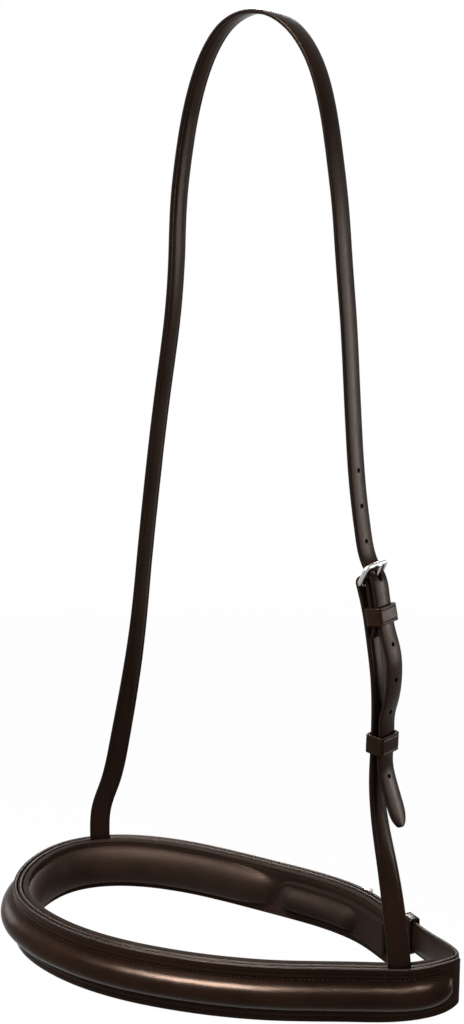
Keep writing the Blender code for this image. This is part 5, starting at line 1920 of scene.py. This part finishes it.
class NOSEBAND_OT_chape(bpy.types.Operator):
    """Make the leather that holds the chin buckle on the band"""

    bl_idname = "noseband.chape"
    bl_label = "Chin Buckle Chape"

    def execute(self, context):
        reach = context.scene.noseband_leather.edge_reach
        stations = []
        sewn = rounded_run(CHIN_BAR, CHIN_BAR + CHAPE_LENGTH, CHAPE_STEP, reach)
        for place, inset in reversed(sewn[len(END_TURNS):]):
            middle = ring_place(place, CHIN_LEAF, BILLET_RISE_AT_BUCKLE)
            stations.append((middle, UP, BILLET_WIDTH, inset, -place))
        radius = leaf_turn(CHIN_BUCKLE, CHAPE_THICKNESS)
        stations += fold_stations(CHIN_PLACE, radius, UP, BILLET_WIDTH)
        turned = rounded_run(CHIN_BAR, CHIN_BAR + CHAPE_TURN, TURN_STEP, reach)
        for place, inset in turned[len(END_TURNS):]:
            middle = ring_place(place, chape_leaf(place), BILLET_RISE_AT_BUCKLE)
            stations.append((middle, UP, BILLET_WIDTH, inset, place))
        obj = strap("chin_chape_leather", stations, CHAPE_THICKNESS)
        punched(obj, self.cut, "chin_buckle_chape")
        return {"FINISHED"}

    @staticmethod
    def cut(work):
        slot_punch(work, CHIN_BUCKLE, CHAPE_THICKNESS, CHIN_PLACE)


class NOSEBAND_OT_keepers(bpy.types.Operator):
    """Make the leather keepers and the loop at the band's end"""

    bl_idname = "noseband.keepers"
    bl_label = "Keepers"

    def execute(self, context):
        crease_depth = context.scene.noseband_leather.crease_depth
        for node, place, width, height, length, body in self.keepers():
            obj = grow_solid(node + "_leather", keeper_tree(), {
                "Width": width, "Height": height, "Wall": KEEPER_WALL, "Length": length,
                "Corner": KEEPER_CORNER, "Edge": KEEPER_EDGE, "Crease depth": crease_depth,
                "Material": leather_material("Havana bridle leather"),
            }, place)
            replace_node(obj, [node], body)
        return {"FINISHED"}

    def keepers(self):
        """Rows of (node, place, width, height, length, body)."""
        loop_at = BAND_END - SEAM_GAP - END_LOOP_LENGTH / 2
        loop_out, loop_rise = billet_way(loop_at)
        half = BAND_THICKNESS / 2 + END_LOOP_PLAY
        return [
            self.ring_keeper(
                "chin_fixed_keeper", CHIN_BAR + CHIN_KEEPER_AT,
                CHIN_TURNED_LEAF - CHAPE_THICKNESS / 2 - SLIP_GAP,
                CHIN_AT_KEEPER + BAND_THICKNESS / 2 + SLIP_GAP,
                BILLET_RISE_AT_BUCKLE, FIXED_KEEPER_LENGTH,
            ),
            self.ring_keeper(
                "chin_tail_keeper", CHIN_BAR + TAIL_KEEPER_AT, TAIL_KEEPER_INNER - SLIP_GAP,
                CHIN_AT_TAIL + BAND_THICKNESS / 2 + SLIP_GAP,
                BILLET_RISE_AT_BUCKLE, FIXED_KEEPER_LENGTH,
            ),
            self.ring_keeper(
                "band_end_loop", loop_at, loop_out - half, loop_out + half, loop_rise,
                END_LOOP_LENGTH,
            ),
            self.cheek_keeper(
                "cheek_fixed_keeper", CHEEK_KEEPER_AT,
                CHEEK_TURNED_LEAF - STRAP_THICKNESS / 2 - SLIP_GAP,
                STANDOFF_AT_KEEPER + STRAP_THICKNESS / 2 + SLIP_GAP, FIXED_KEEPER_LENGTH, BAND,
            ),
            self.cheek_keeper(
                "cheek_runner", CHEEK_RUNNER_AT, -STRAP_THICKNESS / 2 - SLIP_GAP,
                RUNNER_STANDOFF + STRAP_THICKNESS / 2 + SLIP_GAP, RUNNER_LENGTH, RUNNER,
            ),
        ]

    @staticmethod
    def ring_keeper(node, place, inner, outer, rise, length):
        forward, out = ring_axes(place)
        box = axes_matrix(ring_place(place, (inner + outer) / 2, rise), UP, out, forward)
        return node, box, BILLET_WIDTH + 2 * SLIP_GAP, outer - inner, length, BAND

    @staticmethod
    def cheek_keeper(node, distance, inner, outer, length, body):
        point, across, _, outward = cheek_axes(distance)
        middle = point + outward * (inner + outer) / 2
        box = axes_matrix(middle, across, outward, across.cross(outward))
        return node, box, STRAP_WIDTH + 2 * SLIP_GAP, outer - inner, length, body


def tapered_tongue(name, buckle, place):
    """A buckle tongue: its eye round the heel bar, and a shaft that flattens to its tip."""
    start, tip = tongue_line(buckle)
    eye = tongue_radius(buckle)
    leave = math.atan2(start.z, start.y)
    sweep = math.radians(TONGUE_EYE_TURN)
    middles = []
    for i in range(TONGUE_EYE_STEPS + 1):
        angle = leave + sweep * (1 - i / TONGUE_EYE_STEPS)
        middles.append(Vector((0, math.cos(angle) * eye, math.sin(angle) * eye)))
    middles += [start.lerp(tip, i / TONGUE_STEPS) for i in range(1, TONGUE_STEPS)]
    for turn in TONGUE_TIP_TURNS:
        left = (1 - math.sin(math.radians(turn))) / TONGUE_STEPS
        middles.append(start.lerp(tip, 1 - left))
    along = np.gradient(np.array([tuple(point) for point in middles]), axis=0)
    last = len(middles) - 1
    points, faces = [], []
    for i, (middle, forward) in enumerate(zip(middles, along)):
        across = Vector((1, 0, 0))
        out = across.cross(Vector(forward).normalized()).normalized()
        past = max(0.0, (i - TONGUE_EYE_STEPS - 1) / (last - TONGUE_EYE_STEPS - 1))
        wide = buckle["tongue"] * (1 - TONGUE_NARROWING * past)
        thick = buckle["tongue"] * (1 - TONGUE_THINNING * past)
        if last - i < len(TONGUE_TIP_TURNS):
            close = math.cos(math.radians(TONGUE_TIP_TURNS[i - last - 1]))
            wide, thick = wide * close, thick * close
        if i == 0:
            wide, thick = TONGUE_EYE_END * wide, TONGUE_EYE_END * thick
        for j in range(TONGUE_SIDES):
            angle = 2 * math.pi * j / TONGUE_SIDES
            points.append(
                place @ (middle + across * math.cos(angle) * wide + out * math.sin(angle) * thick)
            )
    for i in range(last):
        for j in range(TONGUE_SIDES):
            low, side = i * TONGUE_SIDES + j, i * TONGUE_SIDES + (j + 1) % TONGUE_SIDES
            faces.append((low, side, side + TONGUE_SIDES, low + TONGUE_SIDES))
    for first in (0, last * TONGUE_SIDES):
        faces.append(tuple(range(first, first + TONGUE_SIDES)))
    mesh = bpy.data.meshes.new(name)
    mesh.from_pydata([tuple(point) for point in points], [], faces)
    correct_normals(mesh)
    mesh.shade_smooth()
    mesh.set_sharp_from_angle(angle=TONGUE_SMOOTH_ANGLE)
    return added(name, mesh)


class NOSEBAND_OT_buckles(bpy.types.Operator):
    """Make both steel buckles, each a frame and a tongue on its heel bar"""

    bl_idname = "noseband.buckles"
    bl_label = "Buckles"

    def execute(self, context):
        sides = context.scene.noseband_steel.sides
        for part, buckle, place in (
            ("cheek", CHEEK_BUCKLE, CHEEK_PLACE), ("chin", CHIN_BUCKLE, CHIN_PLACE)
        ):
            tilt = Matrix.Rotation(math.atan2(buckle["rise"], buckle["reach"]), 4, "X")
            wire = grow_solid(part + "_buckle_wire", frame_tree(), {
                "Width": buckle["inside"] + 2 * buckle["bar"], "Span": buckle["span"],
                "Corner": buckle["corner"], "Wire": buckle["bar"], "Sides": sides,
                "Material": steel_material(),
            }, place @ tilt)
            replace_node(wire, [part + "_buckle_frame"], part + "_buckle")
            tongue = tapered_tongue(part + "_buckle_pin", buckle, place)
            replace_node(
                tongue, [part + "_buckle_tongue"], part + "_tongue", steel_material()
            )
        return {"FINISHED"}


class NOSEBAND_OT_stitching(bpy.types.Operator):
    """Sew the band, the pads and the folded leathers"""

    bl_idname = "noseband.stitching"
    bl_label = "Stitching"

    def execute(self, context):
        thread = context.scene.noseband_thread
        lift = thread.groove * SUNK_SHARE
        inset = context.scene.noseband_leather.crease_inset
        sew("cover_stitching", self.cover_rows(-lift, inset, thread.row_inset), BAND)
        sew("lining_stitching", self.lining_rows(lift), BAND)
        sew("strap_stitching", self.cheek_rows() + self.chape_rows(), BAND)
        return {"FINISHED"}

    @staticmethod
    def cover_rows(outward, inset, from_swell):
        """Round the cover's swell, along its flat ends and round the cheek pockets."""
        rows = [swell_row(COVER_SWELL, from_swell, outward)]
        first, last = BAND_END + ROW_FROM_END, COVER_END - ROW_FROM_TIP
        rear = spread(first, COVER_SWELL["start"] - ROW_BEFORE_SWELL, BAND_STEP)
        tip = spread(COVER_SWELL["end"] + ROW_FROM_END, last, TIP_ROW_STEP)
        for side in (1, -1):
            rows.append(edge_row(rear, side, inset, outward))
            rows.append(edge_row(tip, side, inset, outward))
        rows += [upright_row(place, inset, outward) for place in (first, last)]
        rows += [pocket_row(cheek, POCKET_ROW_LIFT) for cheek in (FAR_CHEEK, NEAR_CHEEK)]
        return rows

    def lining_rows(self, lift):
        """Along the lining's edges, up its end and round the chin pad."""
        outward = LINING_INNER + lift
        end = LINING_END - ROW_FROM_END
        places = spread(BAND_END + ROW_FROM_END, end, BAND_STEP)
        rows = [edge_row(places, side, LINING_ROW_INSET, outward) for side in (1, -1)]
        rows.append(upright_row(end, LINING_ROW_INSET, outward))
        rows.append(self.pad_row(PAD_INNER + lift))
        return rows

    @staticmethod
    def pad_row(outward):
        """Along the chin pad, round its rounded end, back and up its straight end."""
        start = BAND_END + PAD_SETBACK + ROW_FROM_LEAF_END
        straight = spread(start, PAD_END - PAD_WIDTH / 2, ROW_STEP)
        half = PAD_WIDTH / 2 - PAD_ROW_INSET
        loop = [(place, half) for place in straight]
        for i in range(1, PAD_ROW_STEPS):
            turn = math.pi * i / PAD_ROW_STEPS
            loop.append((PAD_END - PAD_WIDTH / 2 + half * math.sin(turn), half * math.cos(turn)))
        loop += [(place, -half) for place in reversed(straight)]
        loop += [(start, value) for value in spread(-half, half, ROW_STEP)[1:]]
        return [ring_stitch(place, outward, PAD_MIDDLE + rise) for place, rise in loop]

    @staticmethod
    def cheek_rows():
        """Along both faces of the cheek strap's sewn leaves."""
        rows = []
        leaf = spread(CHEEK_ROW_START, CHEEK_TURN - ROW_FROM_LEAF_END, LEAF_ROW_STEP)
        half = STRAP_WIDTH / 2 - STRAP_ROW_INSET
        for side in (-1, 1):
            for middle_of, face_sign in ((turned_leaf, 1), (lambda d: cheek_axes(d)[0], -1)):
                rows.append(strap_row(
                    leaf, middle_of, lambda d: cheek_axes(d)[1], side * half,
                    STRAP_THICKNESS / 2, face_sign,
                ))
        return rows

    @staticmethod
    def chape_rows():
        """Along the chape's turned leaf and its lower one, and across its end."""
        half = BILLET_WIDTH / 2 - STRAP_ROW_INSET
        fold_end, chape_end = CHIN_BAR + CHAPE_TURN, CHIN_BAR + CHAPE_LENGTH

        def stitch(place, rise):
            _, out = ring_axes(place)
            leaf = chape_leaf(place) if place < fold_end else CHIN_LEAF
            middle = ring_place(place, leaf, BILLET_RISE_AT_BUCKLE)
            return middle + out * CHAPE_THICKNESS / 2 + UP * rise, out

        stretches = (
            (CHIN_BAR + CHAPE_ROW_START, fold_end - ROW_FROM_LEAF_END),
            (fold_end + ROW_FROM_LEAF_END, chape_end - ROW_FROM_LEAF_END),
        )
        rows = []
        for start, end in stretches:
            for side in (-1, 1):
                rows.append([
                    stitch(place, side * half) for place in spread(start, end, ROW_STEP)
                ])
        end = chape_end - ROW_FROM_LEAF_END
        rows.append([stitch(end, rise) for rise in spread(-half, half, ROW_STEP)])
        return rows


def seen_plainly(tree):
    """1 where the camera or a clear reflection sees a surface, and 0 for its other light."""
    path = named_values(put(tree, "ShaderNodeLightPath"))
    seen = path["Is Camera Ray"].math("MAXIMUM", path["Is Glossy Ray"])
    return seen.math("MAXIMUM", path["Is Transmission Ray"])


def mix_shader(tree, share, first, second):
    return made(tree, "ShaderNodeMixShader", {"Fac": share, 1: first, 2: second})


class NOSEBAND_OT_stage(bpy.types.Operator):
    """Set up the camera, the pale floor and the soft studio light"""

    bl_idname = "noseband.stage"
    bl_label = "Studio"

    def execute(self, context):
        studio = context.scene.noseband_studio
        self.camera(context, studio)
        self.floor(studio)
        self.world(context, studio)
        self.lamps(studio)
        context.scene.view_settings.view_transform = "Standard"
        return {"FINISHED"}

    @staticmethod
    def camera(context, studio):
        data = bpy.data.cameras.new("Camera")
        data.lens = studio.focal_length
        data.sensor_width = 36
        data.clip_start = 0.01
        camera = added("Camera", data)
        x, y = studio.camera_heading
        level = math.cos(studio.camera_pitch)
        aim = Vector((x * level, y * level, -math.sin(studio.camera_pitch)))
        camera.location = studio.camera_place
        camera.rotation_euler = aim.to_track_quat("-Z", "Y").to_euler()
        context.scene.camera = camera

    @staticmethod
    def floor(studio):
        """A matt floor that pales to plain white as it runs out of the picture."""
        mesh = bpy.data.meshes.new("floor")
        size = 6.0
        corners = [(-size, -size), (size, -size), (size, size), (-size, size)]
        mesh.from_pydata(
            [(x, y, studio.floor_height) for x, y in corners], [], [(0, 1, 2, 3)]
        )
        material, tree, shader = new_material("Studio floor")
        fill_inputs(shader, {"Base Color": (0.9, 0.9, 0.9, 1), "Roughness": 0.9})
        away = made(
            tree, "ShaderNodeVectorMath", {0: object_vector(tree)}, "Value", operation="LENGTH"
        )
        share = seen_plainly(tree) * away.ramp(0.9, 2.6, 0.93, 1.0)
        white = made(tree, "ShaderNodeEmission")
        surface = mix_shader(tree, share, Value(shader.outputs["BSDF"]), white)
        fill_inputs(tree.nodes["Material Output"], {"Surface": surface})
        mesh.materials.append(material)
        added("floor", mesh)

    @staticmethod
    def world(context, studio):
        """Light from all round, which the camera sees as plain white."""
        world = bpy.data.worlds.new("Studio")
        context.scene.world = world
        world.use_nodes = True
        tree = world.node_tree
        plain = tree.nodes["Background"]
        fill_inputs(plain, {"Color": (1, 1, 1, 1), "Strength": studio.ambient})
        white = made(tree, "ShaderNodeBackground", {"Color": (1, 1, 1, 1)})
        surface = mix_shader(tree, seen_plainly(tree), Value(plain.outputs["Background"]), white)
        fill_inputs(tree.nodes["World Output"], {"Surface": surface})

    @staticmethod
    def lamps(studio):
        aim_at = Vector((0.0, 0.0, -0.50))
        # Name, degrees round from +X and up, distance from the ring, width, height, spread
        # in degrees and power
        rows = (
            ("Key", -100, 52, 1.25, 0.42, 0.42, 180, studio.key),
            ("Sheen", -86, 62, 1.25, 0.45, 0.45, 36, studio.sheen),
            ("Strip", 47, 8, 1.30, 0.10, 0.50, 180, studio.strip),
            ("Rim", 131, 33, 1.50, 0.35, 0.35, 36, studio.rim),
            ("Back", 130, 35, 1.50, 0.50, 0.50, 180, studio.back),
            ("Left", 185, 15, 1.50, 0.60, 0.60, 180, studio.fill),
            ("Right", 40, 12, 1.50, 0.60, 0.60, 180, studio.fill),
        )
        for name, turn, rise, distance, width, height, opening, power in rows:
            data = bpy.data.lights.new(name, "AREA")
            data.shape = "RECTANGLE"
            data.size = width
            data.size_y = height
            data.spread = math.radians(opening)
            data.energy = power
            lamp = added(name, data)
            turn, rise = math.radians(turn), math.radians(rise)
            out = Vector((
                math.cos(rise) * math.cos(turn), math.cos(rise) * math.sin(turn), math.sin(rise)
            ))
            lamp.location = aim_at + out * distance
            lamp.rotation_euler = out.to_track_quat("Z", "Y").to_euler()
            lamp.visible_camera = False
            lamp.visible_diffuse = name not in ("Sheen", "Strip", "Rim")


class NOSEBAND_PT_panel(bpy.types.Panel):
    """Lists the sizes and the steps of the noseband"""

    bl_idname = "NOSEBAND_PT_panel"
    bl_label = "Padded Noseband"
    bl_space_type = "VIEW_3D"
    bl_region_type = "UI"
    bl_category = "Noseband"

    def draw(self, context):
        for name, _ in SETTINGS:
            group = getattr(context.scene, name)
            box = self.layout.box()
            for label in group.__annotations__:
                box.prop(group, label)
        for step in STEPS:
            self.layout.operator(step.bl_idname)


SETTINGS = (
    ("noseband_leather", NosebandLeather),
    ("noseband_thread", NosebandThread),
    ("noseband_steel", NosebandSteel),
    ("noseband_studio", NosebandStudio),
)
STEPS = (
    NOSEBAND_OT_stage,
    NOSEBAND_OT_cover,
    NOSEBAND_OT_lining,
    NOSEBAND_OT_chin_pad,
    NOSEBAND_OT_band_strap,
    NOSEBAND_OT_headstrap,
    NOSEBAND_OT_cheek_strap,
    NOSEBAND_OT_chape,
    NOSEBAND_OT_keepers,
    NOSEBAND_OT_buckles,
    NOSEBAND_OT_stitching,
)


def register():
    for _, group in SETTINGS:
        bpy.utils.register_class(group)
    for step in STEPS:
        bpy.utils.register_class(step)
    bpy.utils.register_class(NOSEBAND_PT_panel)
    for name, group in SETTINGS:
        setattr(bpy.types.Scene, name, PointerProperty(type=group))


def unregister():
    for name, _ in SETTINGS:
        delattr(bpy.types.Scene, name)
    bpy.utils.unregister_class(NOSEBAND_PT_panel)
    for step in reversed(STEPS):
        bpy.utils.unregister_class(step)
    for _, group in reversed(SETTINGS):
        bpy.utils.unregister_class(group)


def main():
    register()
    for step in STEPS:
        family, action = step.bl_idname.split(".")
        getattr(getattr(bpy.ops, family), action)()


if __name__ == "__main__":
    main()
